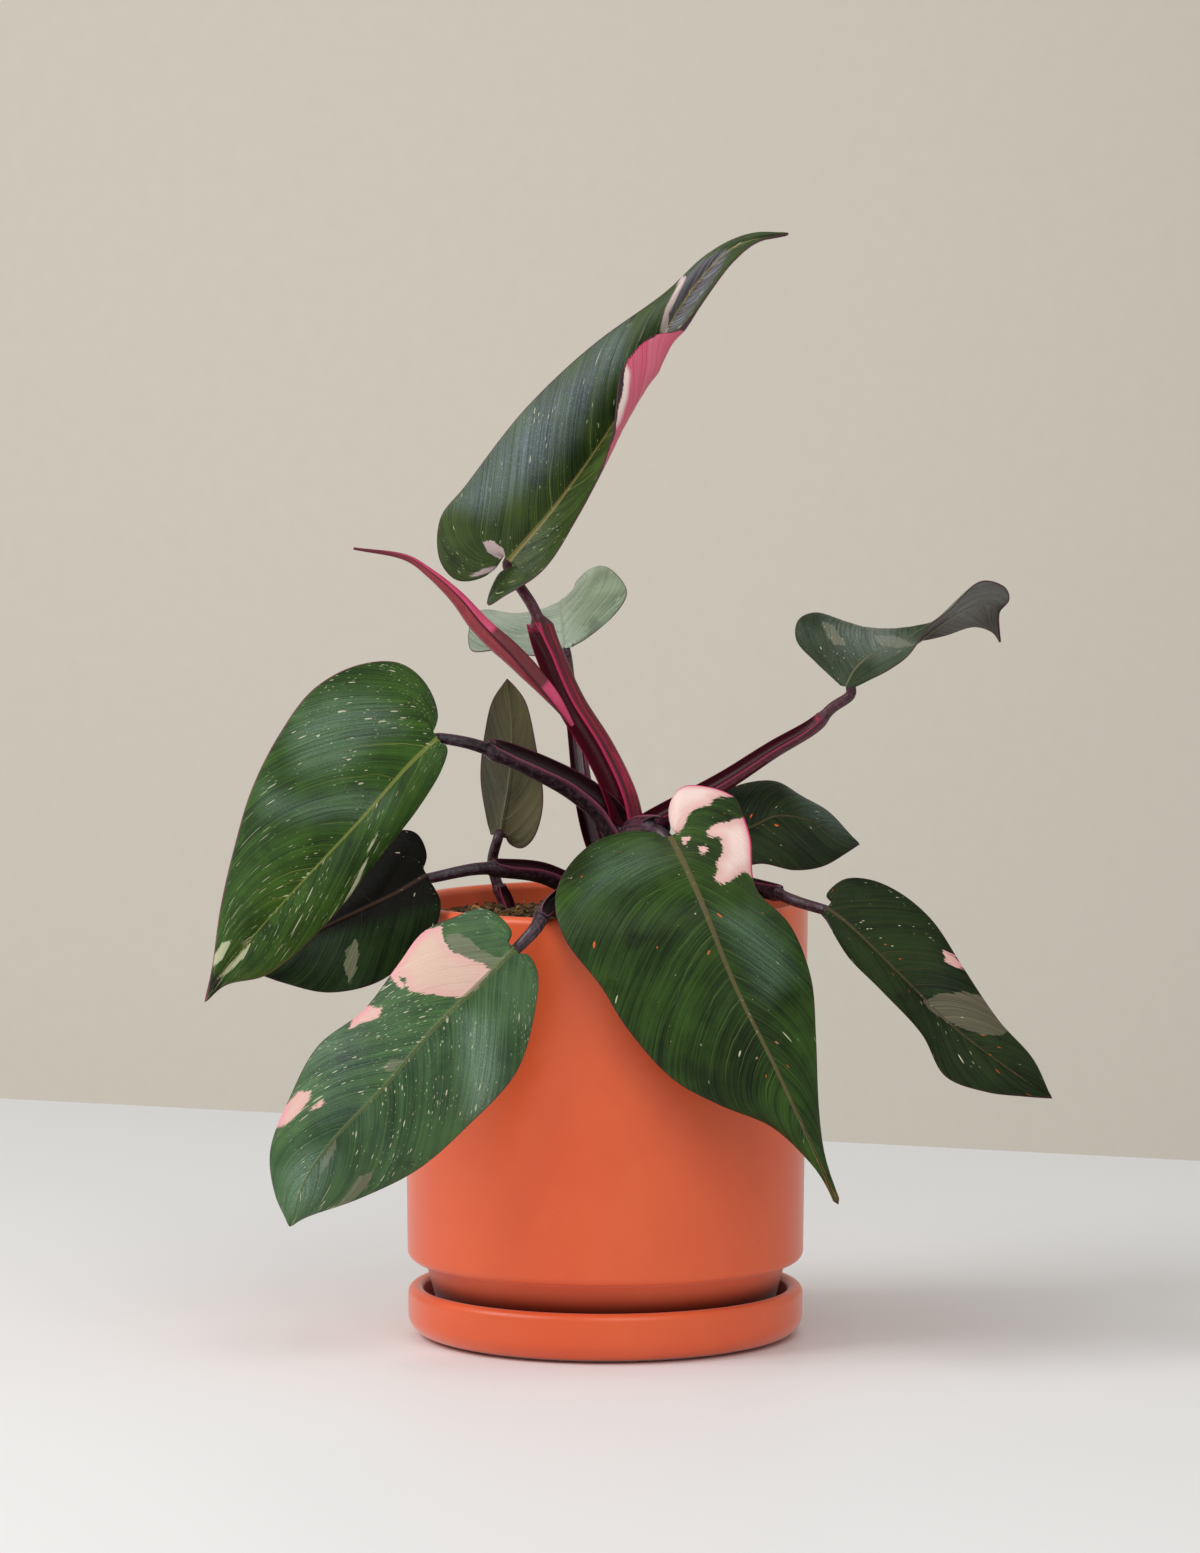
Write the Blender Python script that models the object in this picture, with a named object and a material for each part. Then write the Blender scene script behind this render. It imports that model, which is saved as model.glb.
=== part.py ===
# Potted philodendron: ceramic pot and saucer, soil, stems with their leaf stalks, and eleven leaves.
# Lengths below are in millimetres and become metres when the meshes are made. +Z is up, and the
# saucer stands on z = 0 with its centre at x = y = 0.

import math
import random

import bpy
import bmesh
import numpy as np

MM = 0.001
GAP = 0.3

# Pot and saucer
ROUND_SIDES = 48
SMALL_BEVEL = 1.0
POT_RIM_RADIUS = 82.8
POT_HEIGHT = 179.0
POT_LOWER_RADIUS = 81.2
POT_LOWER_EDGE_Z = 31.2
POT_EDGE_ROUNDING = 4.0
POT_WALL = 6.0
POT_INNER_TAPER = 2.0
POT_INNER_CORNER = 6.0
FOOT_INNER_CORNER = 3.0
FOOT_RADIUS = 67.5
FOOT_ROUNDING = 1.5
FOOT_RECESS_RADIUS = 55.0
FOOT_RECESS_DEPTH = 3.0
DRAIN_RADIUS = 6.0
SAUCER_RADIUS = 81.0
SAUCER_HEIGHT = 20.6
SAUCER_FLOOR_Z = 5.3
SAUCER_FOOT_RADIUS = 72.0
SAUCER_INNER_RADIUS = 74.0
SAUCER_INNER_TAPER = 0.8
SAUCER_COVE = 2.5
SAUCER_BOTTOM_ROUNDING = 8.0
SAUCER_RIM_ROUNDING = 3.3

# Soil and the holes for the stems
SOIL_DEPTH_BELOW_RIM = 8.0
SOIL_RING_COUNT = 6
SOIL_LUMP = 0.9
SOIL_EDGE_DROP = 1.5
SOIL_SEED = 7
HOLE_SIDES = 16
HOLE_DEPTH = 26.0
HOLE_CLEARANCE = 0.6
MAIN_STEM_RADIUS = 8.0
MAIN_STEM_TOP_RADIUS = 7.6
SIDE_STEM_RADIUS = 3.4
SIDE_STEM_FOOT = (-41, 44)

# Leaf blades
BLADE_THICKNESS = 0.8
MIDRIB_DEPTH = 3.0
MIDRIB_TAPER = 0.85
SINUS_HALF_WIDTH = 3.2
LOBE_STEPS = 5
BLADE_STEPS = 11
FINE_STEPS = 96
ACROSS = (0.0, 0.1, 0.38, 0.7, 1.0)
LOBE_EASE = 6
LEAST_LOBE_SHARE = 0.14

# Stalks and stems
STALK_SIDES = 8
STALK_STEPS = 13
MAIN_STEM_SIDES = 12
SHEATH_STEP = 0.07
STALK_END_LENGTH = 3.0
STALK_TIP_RADIUS = 2.1
STALK_TIP_DROP = 1.5
STALK_GAP = 0.4

# Each leaf has points chosen along its midrib, from the stalk to the tip, and along its left and
# right edges as seen from above with the tip ahead, from beside the stalk round the lobe towards
# the tip. arch is how far the blade bulges upwards between midrib and edge, along each edge.
LEAVES = {
    "leaf_top": {
        "midrib": [(-39, -8, 318), (-20, -4, 340), (-4, 0, 362), (10, 4, 384), (24, 6, 410),
                   (38, 4, 431), (53, 0, 445), (74, -6, 450)],
        "left": [(-48, -10, 312), (-60, -14, 310), (-67, -16, 318), (-67, -14, 335),
                 (-57, -10, 348), (-32, -2, 380), (-4, 4, 406), (25, 8, 427), (42, 6, 442),
                 (60, 0, 450)],
        "right": [(-43, -12, 313), (-48, -16, 300), (-41, -20, 304), (-26, -24, 314),
                  (-12, -30, 335), (-2, -34, 355), (3, -34, 371), (7, -28, 396),
                  (19, -16, 409), (29, -8, 411), (37, -6, 420), (52, -8, 439), (62, -8, 447)],
        "arch_left": (0, 2, 4, 3, 1),
        "arch_right": (0, 0, -2, -2, -4, -9, -4, -1, 0),
    },
    "leaf_back_top": {
        "midrib": [(-17, 45, 279), (-18, 56, 289), (-19, 75, 295), (-17, 100, 297), (-11, 130, 295)],
        "left": [(-27, 45, 276), (-44, 52, 278), (-56, 66, 277), (-57, 84, 287),
                 (-52, 102, 292), (-36, 118, 290)],
        "right": [(-8, 46, 283), (3, 50, 292), (9, 62, 301), (4, 80, 309), (-2, 96, 311),
                  (-9, 112, 307), (-13, 122, 301)],
        "arch_left": (0, -2, -4, -3),
        "arch_right": (1, 1, 0, 0),
    },
    "leaf_right_far": {
        "midrib": [(99, 16, 265), (103, 18, 272), (110, 18, 278), (120, 18, 281),
                   (127, 18, 283), (139, 16, 292), (152, 16, 299), (159, 18, 298), (162, 20, 283)],
        "left": [(96, 22, 267), (87, 32, 274), (79, 38, 283), (80, 42, 291), (87, 44, 294),
                 (102, 42, 289), (117, 36, 286), (128, 30, 283), (139, 28, 285), (152, 28, 289),
                 (159, 26, 287)],
        "right": [(102, 12, 265), (109, 4, 269), (117, 0, 274), (124, 4, 279), (132, 4, 290),
                  (140, 2, 297), (153, -2, 309), (162, 0, 307), (165, 8, 301), (161, 15, 295)],
        "arch_left": (1, 1, 1, 0),
        "arch_right": (1, 1, 1, 0),
    },
    "leaf_left_big": {
        "midrib": [(-68, -30, 247), (-79, -38, 237), (-99, -50, 215), (-124, -62, 189),
                   (-143, -72, 168), (-159, -80, 146)],
        "left": [(-64, -30, 243), (-66, -32, 235), (-75, -38, 220), (-91, -46, 200),
                 (-106, -54, 181), (-122, -62, 165), (-136, -68, 155), (-151, -76, 152)],
        "right": [(-68, -26, 257), (-73, -24, 269), (-83, -26, 277), (-99, -34, 277),
                  (-117, -46, 268), (-130, -56, 251), (-141, -64, 229), (-148, -70, 205),
                  (-153, -76, 182), (-156, -80, 160)],
        "arch_left": (1, 2, 3, 2, 1),
        "arch_right": (1, 3, 4, 3, 1),
    },
    "leaf_left_behind": {
        "midrib": [(-72, -46, 193), (-84, -47, 186), (-98, -45, 179), (-114, -42, 171),
                   (-130, -38, 161), (-145, -34, 154)],
        "left": [(-69, -49, 188), (-66, -54, 183), (-68, -56, 173), (-77, -56, 162),
                 (-91, -54, 151), (-111, -48, 146), (-129, -40, 149)],
        "right": [(-72, -42, 201), (-76, -36, 209), (-83, -32, 210), (-95, -28, 203),
                  (-111, -26, 191), (-127, -26, 178), (-138, -30, 165)],
        "arch_left": (1, 2, 2, 1),
        "arch_right": (1, 2, 2, 1),
    },
    "leaf_front_left": {
        "midrib": [(-36, -98, 169), (-46, -101, 159), (-67, -106, 139), (-87, -110, 116),
                   (-107, -112, 95), (-118, -112, 79), (-124, -110, 61)],
        "left": [(-31, -98, 167), (-27, -97, 160), (-28, -95, 144), (-35, -94, 120),
                 (-55, -96, 98), (-74, -100, 82), (-97, -104, 71), (-118, -108, 64)],
        "right": [(-37, -94, 175), (-42, -90, 181), (-49, -88, 184), (-59, -89, 181),
                  (-72, -92, 175), (-82, -96, 162), (-95, -98, 145), (-113, -100, 131),
                  (-124, -102, 111), (-132, -104, 89), (-130, -106, 73)],
        "arch_left": (1, 2, 2, 1),
        "arch_right": (1, 2, 3, 1),
    },
    "leaf_front_centre": {
        "midrib": [(26, -42, 208), (32, -72, 198), (38, -90, 186), (51, -97, 154),
                   (66, -102, 124), (81, -108, 92), (91, -112, 70)],
        "left": [(29, -36, 213), (26, -31, 220), (31, -26, 227), (41, -24, 227), (52, -28, 223),
                 (55, -35, 217), (58, -50, 208), (60, -72, 190), (73, -84, 177), (81, -88, 157),
                 (83, -92, 133), (84, -98, 104), (87, -106, 82)],
        "right": [(19, -41, 209), (9, -40, 210), (-3, -44, 207), (-15, -62, 198), (-20, -84, 185),
                  (-16, -92, 172), (-2, -96, 154), (8, -98, 138), (27, -98, 117), (45, -98, 107),
                  (65, -100, 99), (79, -104, 87), (87, -108, 79)],
        "arch_left": (1, 3, 2, 2, 1),
        "arch_right": (1, 2, 3, 2, 1),
    },
    "leaf_back_small": {
        "midrib": [(-44, 44, 201), (-41, 46, 216), (-39, 49, 232), (-39, 52, 249), (-41, 54, 266)],
        "left": [(-40, 43, 198), (-35, 42, 196), (-30, 41, 200), (-26, 42, 214), (-29, 46, 239),
                 (-33, 50, 256), (-37, 53, 262)],
        "right": [(-48, 45, 203), (-50, 46, 211), (-52, 48, 226), (-50, 51, 245), (-47, 53, 257)],
        "arch_left": (0, 1, 1, 0),
        "arch_right": (0, 1, 1, 0),
    },
    "leaf_right_mid": {
        "midrib": [(43, -2, 201), (60, 6, 208), (70, 10, 212), (80, 12, 211), (92, 14, 206),
                   (104, 14, 200)],
        "left": [(41, 4, 208), (45, 14, 219), (55, 22, 224), (70, 26, 225), (81, 24, 219),
                 (92, 20, 213)],
        "right": [(45, -7, 196), (53, -9, 193), (64, -6, 194), (77, -2, 191), (89, 4, 192),
                  (99, 10, 197)],
        "arch_left": (1, 2, 2, 1),
        "arch_right": (1, 2, 2, 1),
    },
    "leaf_right_low": {
        "midrib": [(88, -70, 182), (95, -73, 177), (116, -80, 157), (137, -86, 137),
                   (158, -90, 121), (176, -92, 109)],
        "left": [(88, -66, 187), (95, -64, 193), (105, -64, 193), (117, -66, 188), (130, -68, 177),
                 (142, -74, 159), (156, -80, 138), (169, -86, 124)],
        "right": [(89, -74, 176), (96, -78, 164), (109, -84, 151), (125, -90, 134),
                  (134, -94, 118), (150, -96, 112), (165, -94, 110)],
        "arch_left": (1, 2, 2, 1),
        "arch_right": (1, 2, 2, 1),
    },
}

# The stem, from the soil up, and each stalk: its route from inside the stem to its leaf, its radius
# at the base, at the end of its sheath and beyond it, and the share of its length that the sheath
# takes up.
MAIN_STEM_ROUTE = [(0, 0, 146), (0, 0, 160), (0, 0, 173), (3, 0, 187), (7, 0, 199), (10, 0, 208)]
STALKS = {
    "leaf_top": {"route": [(10, 0, 205), (7, -1, 220), (-2, -3, 240), (-14, -6, 260),
                           (-23, -8, 281), (-29, -8, 298)],
                 "radii": (6.0, 4.6, 2.3), "sheath_end": 0.74},
    "leaf_back_top": {"route": [(3, 3, 188), (-4, 8, 202), (-9, 16, 222), (-12, 26, 244),
                                (-15, 36, 268)],
                      "radii": (5.0, 3.0, 2.2), "sheath_end": 0.8},
    "leaf_right_far": {"route": [(9, 0, 204), (20, 2, 211), (35, 6, 219), (50, 12, 227),
                                 (69, 16, 239), (86, 18, 249), (93, 18, 256)],
                       "radii": (4.8, 3.1, 2.3), "sheath_end": 0.82},
    "leaf_left_big": {"route": [(8, 0, 204), (-1, -1, 216), (-12, -4, 225), (-24, -9, 232),
                                (-39, -14, 239), (-48, -18, 242), (-57, -23, 245)],
                      "radii": (6.2, 3.9, 2.6), "sheath_end": 0.7},
    "leaf_left_behind": {"route": [(1, 0, 177), (-12, -6, 184), (-25, -16, 191), (-39, -28, 194),
                                   (-53, -40, 195)],
                         "radii": (5.2, 3.7, 2.6), "sheath_end": 0.66},
    "leaf_front_left": {"route": [(2, 0, 180), (-8, -34, 185), (-16, -62, 187), (-24, -81, 182),
                                  (-28, -92, 176)],
                        "radii": (4.6, 3.4, 2.8), "sheath_end": 0.8},
    "leaf_front_centre": {"route": [(10, 0, 203), (13, -11, 207), (18, -23, 209), (22, -33, 209)],
                          "radii": (6.4, 6.0, 3.0), "sheath_end": 0.6},
    "leaf_right_mid": {"route": [(4, 0, 187), (20, 2, 193), (33, 0, 198)],
                       "radii": (4.0, 3.2, 2.3), "sheath_end": 0.6},
    "leaf_right_low": {"route": [(3, 0, 181), (30, -16, 187), (50, -32, 189), (66, -48, 187),
                                 (76, -60, 184)],
                       "radii": (4.4, 3.6, 2.3), "sheath_end": 0.74},
}
SIDE_STALK = {"route": [(-41, 44, 147), (-41, 44, 160), (-41, 44, 172), (-45, 44, 181),
                        (-47, 44, 190)],
              "radii": (3.4, 3.0, 2.3), "sheath_end": 0.55}

# The new leaf is rolled into a spindle: centre points from its base to its tip, and radii.
ROLLED_LEAF_ROUTE = [(-13.5, -9.4, 251), (-20, -14, 261), (-27.5, -17, 270), (-37, -20, 280),
                     (-50, -22, 292), (-60, -25, 304), (-71, -28, 314), (-80, -31, 320),
                     (-101, -38, 324)]
ROLLED_LEAF_RADII = (0.9, 2.8, 4.0, 4.4, 3.8, 2.6, 1.6, 1.0, 0.5)
ROLLED_LEAF_SIDES = 10
ROLLED_LEAF_STEPS = 14

COLOURS = {
    "pot": (0.745, 0.150, 0.055),
    "saucer": (0.745, 0.150, 0.055),
    "soil": (0.055, 0.030, 0.018),
    "main_stem": (0.075, 0.018, 0.032),
    "side_stem": (0.075, 0.018, 0.032),
    "leaf_new_rolled": (0.420, 0.040, 0.090),
    "leaf_front_centre": (0.030, 0.085, 0.028),
    "leaf": (0.022, 0.062, 0.024),
}
ROUGHNESS = {"pot": 0.5, "saucer": 0.35, "soil": 0.95}
LEAF_ROUGHNESS = 0.42


def material(name):
    """A plain material of the piece's own colour."""
    key = name if name in COLOURS else "leaf"
    made = bpy.data.materials.new(name + "_material")
    made.use_nodes = True
    shader = made.node_tree.nodes["Principled BSDF"]
    shader.inputs["Base Color"].default_value = (*COLOURS[key], 1.0)
    shader.inputs["Roughness"].default_value = ROUGHNESS.get(name, LEAF_ROUGHNESS)
    shader.inputs["Metallic"].default_value = 0.0
    return made


def add_object(name, vertices, faces, smooth_angle=40.0):
    """A mesh object from vertices in millimetres, with its faces pointing outwards."""
    mesh = bpy.data.meshes.new(name)
    mesh.from_pydata([tuple(float(c) * MM for c in v) for v in vertices], [], faces)
    work = bmesh.new()
    work.from_mesh(mesh)
    bmesh.ops.recalc_face_normals(work, faces=work.faces)
    work.to_mesh(mesh)
    work.free()
    mesh.shade_smooth()
    mesh.set_sharp_from_angle(angle=math.radians(smooth_angle))
    made = bpy.data.objects.new(name, mesh)
    bpy.context.scene.collection.objects.link(made)
    made.data.materials.append(material(name))
    return made


def turned(name, profile, sides=ROUND_SIDES):
    """A solid turned about Z from a profile of (radius, z), run once round the section."""
    vertices = []
    rings = []
    for radius, z in profile:
        if radius == 0.0:
            rings.append([len(vertices)] * sides)
            vertices.append((0.0, 0.0, z))
            continue
        rings.append(list(range(len(vertices), len(vertices) + sides)))
        for side in range(sides):
            angle = 2.0 * math.pi * side / sides
            vertices.append((radius * math.cos(angle), radius * math.sin(angle), z))
    open_at_axis = profile[0][0] == 0.0
    count = len(profile)
    pairs = [(i, i + 1) for i in range(count - 1)] if open_at_axis else [
        (i, (i + 1) % count) for i in range(count)]
    faces = []
    for low, high in pairs:
        for side in range(sides):
            after = (side + 1) % sides
            corners = [rings[low][side], rings[low][after], rings[high][after], rings[high][side]]
            face = list(dict.fromkeys(corners))
            if len(face) > 2:
                faces.append(face)
    return add_object(name, vertices, faces)


def arc(centre, radius, start, end, steps):
    """Points of a profile along an arc, angles in degrees from +r towards +z."""
    points = []
    for step in range(steps + 1):
        angle = math.radians(start + (end - start) * step / steps)
        points.append((centre[0] + radius * math.cos(angle), centre[1] + radius * math.sin(angle)))
    return points


def saucer():
    """A dish with a flat base, a rounded side and a rounded rim."""
    inner_base = SAUCER_INNER_RADIUS - SAUCER_COVE
    rim_centre = (SAUCER_RADIUS - SAUCER_RIM_ROUNDING, SAUCER_HEIGHT - SAUCER_RIM_ROUNDING)
    bottom_centre = (SAUCER_RADIUS - SAUCER_BOTTOM_ROUNDING, SAUCER_BOTTOM_ROUNDING + SMALL_BEVEL)
    profile = [(0.0, 0.0), (SAUCER_FOOT_RADIUS - SMALL_BEVEL, 0.0)]
    profile += arc(bottom_centre, SAUCER_BOTTOM_ROUNDING, -75.0, 0.0, 4)
    profile += arc(rim_centre, SAUCER_RIM_ROUNDING, 0.0, 180.0, 6)
    profile += [(SAUCER_INNER_RADIUS - SAUCER_INNER_TAPER, SAUCER_HEIGHT / 2.0),
                (inner_base, SAUCER_FLOOR_Z + SMALL_BEVEL),
                (inner_base - SMALL_BEVEL, SAUCER_FLOOR_Z), (0.0, SAUCER_FLOOR_Z)]
    return turned("saucer", profile)


def pot():
    """A cylinder with a rounded lip, a lower edge that steps in to a foot, and a drain hole."""
    foot_z = SAUCER_FLOOR_Z + GAP
    recess_z = foot_z + FOOT_RECESS_DEPTH
    lip = POT_WALL / 2.0
    edge_centre = (POT_LOWER_RADIUS - POT_EDGE_ROUNDING, POT_LOWER_EDGE_Z + POT_EDGE_ROUNDING)
    inner_radius = POT_RIM_RADIUS - POT_WALL
    inner_low = POT_LOWER_EDGE_Z + POT_WALL
    profile = [(DRAIN_RADIUS, recess_z), (FOOT_RECESS_RADIUS, recess_z),
               (FOOT_RECESS_RADIUS + SMALL_BEVEL, foot_z), (FOOT_RADIUS - FOOT_ROUNDING, foot_z),
               (FOOT_RADIUS, foot_z + FOOT_ROUNDING),
               (FOOT_RADIUS, POT_LOWER_EDGE_Z - SMALL_BEVEL),
               (FOOT_RADIUS + SMALL_BEVEL, POT_LOWER_EDGE_Z)]
    profile += arc(edge_centre, POT_EDGE_ROUNDING, -80.0, 0.0, 3)
    profile += arc((POT_RIM_RADIUS - lip, POT_HEIGHT - lip), lip, 0.0, 180.0, 6)
    foot_inner = FOOT_RADIUS - POT_WALL
    floor_z = recess_z + POT_WALL
    profile += [(inner_radius - POT_INNER_TAPER, inner_low + POT_INNER_CORNER),
                (inner_radius - POT_INNER_CORNER, inner_low),
                (foot_inner, inner_low - FOOT_INNER_CORNER), (foot_inner, floor_z + FOOT_INNER_CORNER),
                (foot_inner - FOOT_INNER_CORNER, floor_z), (DRAIN_RADIUS, floor_z)]
    return turned("pot", profile)


def cutter(name, centre, radius, top, depth):
    """A round cutter for a plain hole from above."""
    bpy.ops.mesh.primitive_cylinder_add(
        vertices=HOLE_SIDES, radius=radius * MM, depth=2.0 * depth * MM,
        location=(centre[0] * MM, centre[1] * MM, top * MM))
    made = bpy.context.active_object
    made.name = name
    made.hide_render = True
    made.display_type = "WIRE"
    return made


def soil():
    """Soil that fills the pot, lumpy on top, with a plain hole for each stem."""
    top = POT_HEIGHT - SOIL_DEPTH_BELOW_RIM
    radius = POT_RIM_RADIUS - POT_WALL - GAP
    low = SAUCER_FLOOR_Z + GAP + FOOT_RECESS_DEPTH + POT_WALL + GAP
    inner_low = POT_LOWER_EDGE_Z + POT_WALL + GAP
    foot_inner = FOOT_RADIUS - POT_WALL - GAP
    profile = [(0.0, low), (foot_inner - FOOT_INNER_CORNER - GAP, low),
               (foot_inner, low + FOOT_INNER_CORNER), (foot_inner, inner_low - FOOT_INNER_CORNER + GAP),
               (radius - POT_INNER_CORNER - GAP, inner_low + GAP),
               (radius - POT_INNER_TAPER - GAP, inner_low + POT_INNER_CORNER + GAP),
               (radius - GAP, top - SOIL_EDGE_DROP)]
    profile += [(radius * (1.0 - ring / SOIL_RING_COUNT), top) for ring in range(1, SOIL_RING_COUNT)]
    profile.append((0.0, top))
    made = turned("soil", profile)
    draw = random.Random(SOIL_SEED)
    for vertex in made.data.vertices:
        if vertex.co.z > (top - SOIL_LUMP) * MM:
            vertex.co.z += draw.uniform(-SOIL_LUMP, SOIL_LUMP) * MM
    holes = [("hole_for_main_stem", (0, 0), MAIN_STEM_RADIUS + HOLE_CLEARANCE),
             ("hole_for_side_stem", SIDE_STEM_FOOT, SIDE_STEM_RADIUS + HOLE_CLEARANCE)]
    for name, centre, hole_radius in holes:
        cut = made.modifiers.new(name, "BOOLEAN")
        cut.operation = "DIFFERENCE"
        cut.object = cutter(name, centre, hole_radius, top, HOLE_DEPTH)
    return made


def smooth_curve(points, count):
    """count + 1 points at even distances along a smooth curve through the given points."""
    knots = np.array([tuple(p) for p in points], dtype=float)
    steps = np.maximum(np.linalg.norm(np.diff(knots, axis=0), axis=1), 1e-6)
    at = np.concatenate([[0.0], np.cumsum(np.sqrt(steps))])
    slopes = np.diff(knots, axis=0) / np.diff(at)[:, None]
    tangents = np.empty_like(knots)
    tangents[0] = slopes[0]
    tangents[-1] = slopes[-1]
    before = np.diff(at)[:-1, None]
    after = np.diff(at)[1:, None]
    tangents[1:-1] = (slopes[:-1] * after + slopes[1:] * before) / (before + after)
    dense_at = np.linspace(0.0, at[-1], 40 * len(knots))
    index = np.clip(np.searchsorted(at, dense_at, side="right") - 1, 0, len(knots) - 2)
    width = (at[index + 1] - at[index])[:, None]
    u = ((dense_at - at[index])[:, None]) / width
    dense = ((2 * u**3 - 3 * u**2 + 1) * knots[index]
             + (u**3 - 2 * u**2 + u) * width * tangents[index]
             + (3 * u**2 - 2 * u**3) * knots[index + 1]
             + (u**3 - u**2) * width * tangents[index + 1])
    run = np.concatenate([[0.0], np.cumsum(np.linalg.norm(np.diff(dense, axis=0), axis=1))])
    wanted = np.linspace(0.0, run[-1], count + 1)
    return np.stack([np.interp(wanted, run, dense[:, axis]) for axis in range(3)], axis=1)


def unit(vector):
    """The vector at length 1."""
    return vector / max(float(np.linalg.norm(vector)), 1e-9)


def blade_frame(leaf):
    """Where a leaf starts, the way that it runs there, and its upward and left directions."""
    rib = smooth_curve(leaf["midrib"], FINE_STEPS)
    start = rib[0]
    ahead = unit(rib[1] - rib[0])
    across = np.array(leaf["left"][1], dtype=float) - np.array(leaf["right"][1], dtype=float)
    up = unit(np.cross(ahead, across))
    return start, ahead, up, unit(np.cross(up, ahead))


def curve_point(curve, share):
    """The point at a share, from 0 to 1, of the way along evenly spaced points."""
    last = len(curve) - 1
    return np.array([np.interp(share * last, range(last + 1), curve[:, axis]) for axis in range(3)])


def lobe_share(edge, start, ahead):
    """The share of an edge that belongs to the lobe, up to where it passes the stalk."""
    behind = np.flatnonzero((edge - start) @ ahead < 0.0)
    passed = (behind[-1] + 1) / (len(edge) - 1) if len(behind) else 0.0
    return max(LEAST_LOBE_SHARE, passed)


def blade_side(leaf, side, start_point):
    """A grid of points over one half of a blade, from lobe to tip and from midrib to edge."""
    rib = smooth_curve(leaf["midrib"], FINE_STEPS)
    edge = smooth_curve([start_point, *leaf[side], leaf["midrib"][-1]], FINE_STEPS)
    lobe = lobe_share(edge, rib[0], unit(rib[1] - rib[0]))
    shares = [lobe * step / LOBE_STEPS for step in range(LOBE_STEPS)]
    shares += [lobe + (1.0 - lobe) * step / BLADE_STEPS for step in range(BLADE_STEPS + 1)]
    arches = leaf["arch_" + side]
    rows = []
    for share in shares:
        along = max(0.0, (share - lobe) / (1.0 - lobe))
        beside_stalk = 1.0 - min(1.0, share / lobe) ** LOBE_EASE
        root = curve_point(rib, along) + (start_point - rib[0]) * beside_stalk
        rim = curve_point(edge, share)
        near = min(int(along * FINE_STEPS), FINE_STEPS - 1)
        ahead = unit(rib[near + 1] - rib[near])
        outward = rim - root if side == "left" else root - rim
        up = unit(np.cross(ahead, outward))
        arch = np.interp(share * (len(arches) - 1), range(len(arches)), arches)
        rows.append([root + (rim - root) * v + up * arch * 4.0 * v * (1.0 - v) for v in ACROSS])
    return rows


def blade(name):
    """A leaf blade: one thin closed body whose two faces are split into the same triangles."""
    leaf = LEAVES[name]
    start, ahead, up, left = blade_frame(leaf)
    points = []
    midrib_index = []
    index = {}
    for side, sign in (("left", 1.0), ("right", -1.0)):
        rows = blade_side(leaf, side, start + left * sign * SINUS_HALF_WIDTH)
        for j, row in enumerate(rows):
            for k, point in enumerate(row):
                key = (side, j, k)
                if j == 0:
                    key = (side, 0, 0)
                elif j == len(rows) - 1 or (k == 0 and j >= LOBE_STEPS):
                    key = ("midrib", j - LOBE_STEPS, 0)
                if key not in index:
                    index[key] = len(points)
                    points.append(point)
                index[(side, j, k)] = index[key]
    steps = LOBE_STEPS + BLADE_STEPS
    triangles = []
    for side in ("left", "right"):
        for j in range(steps):
            for k in range(len(ACROSS) - 1):
                corners = [index[(side, j, k)], index[(side, j + 1, k)],
                           index[(side, j + 1, k + 1)], index[(side, j, k + 1)]]
                for tri in ((corners[0], corners[1], corners[2]), (corners[0], corners[2], corners[3])):
                    if len(set(tri)) == 3:
                        triangles.append(tri[::-1] if side == "left" else tri)
    points = np.array(points)
    normals = np.zeros_like(points)
    for a, b, c in triangles:
        face = np.cross(points[b] - points[a], points[c] - points[a])
        for corner in (a, b, c):
            normals[corner] += face
    normals = np.array([unit(n) for n in normals])
    if np.dot(normals[index[("midrib", 1, 0)]], up) < 0.0:
        normals = -normals
    for j in range(LOBE_STEPS + 1):
        for side in ("left", "right"):
            normals[index[(side, j, 0)]] = up
    depth = np.full(len(points), BLADE_THICKNESS)
    for step in range(BLADE_STEPS + 1):
        depth[index[("midrib", step, 0)]] += MIDRIB_DEPTH * (1.0 - MIDRIB_TAPER * step / BLADE_STEPS)
    depth[index[("midrib", BLADE_STEPS, 0)]] = BLADE_THICKNESS
    upper = points + normals * BLADE_THICKNESS / 2.0
    lower = upper - normals * depth[:, None]
    return add_object(name, *closed_sheet(upper, lower, triangles))


def closed_sheet(upper, lower, triangles):
    """Joins an upper and a lower face, made of the same triangles, along their open edges."""
    count = len(upper)
    faces = [list(tri) for tri in triangles]
    faces += [[tri[2] + count, tri[1] + count, tri[0] + count] for tri in triangles]
    directed = {(tri[i], tri[(i + 1) % 3]) for tri in triangles for i in range(3)}
    for first, second in sorted(directed):
        if (second, first) not in directed:
            faces.append([second, first, first + count])
            faces.append([second, first + count, second + count])
    return np.concatenate([upper, lower]), faces


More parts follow.
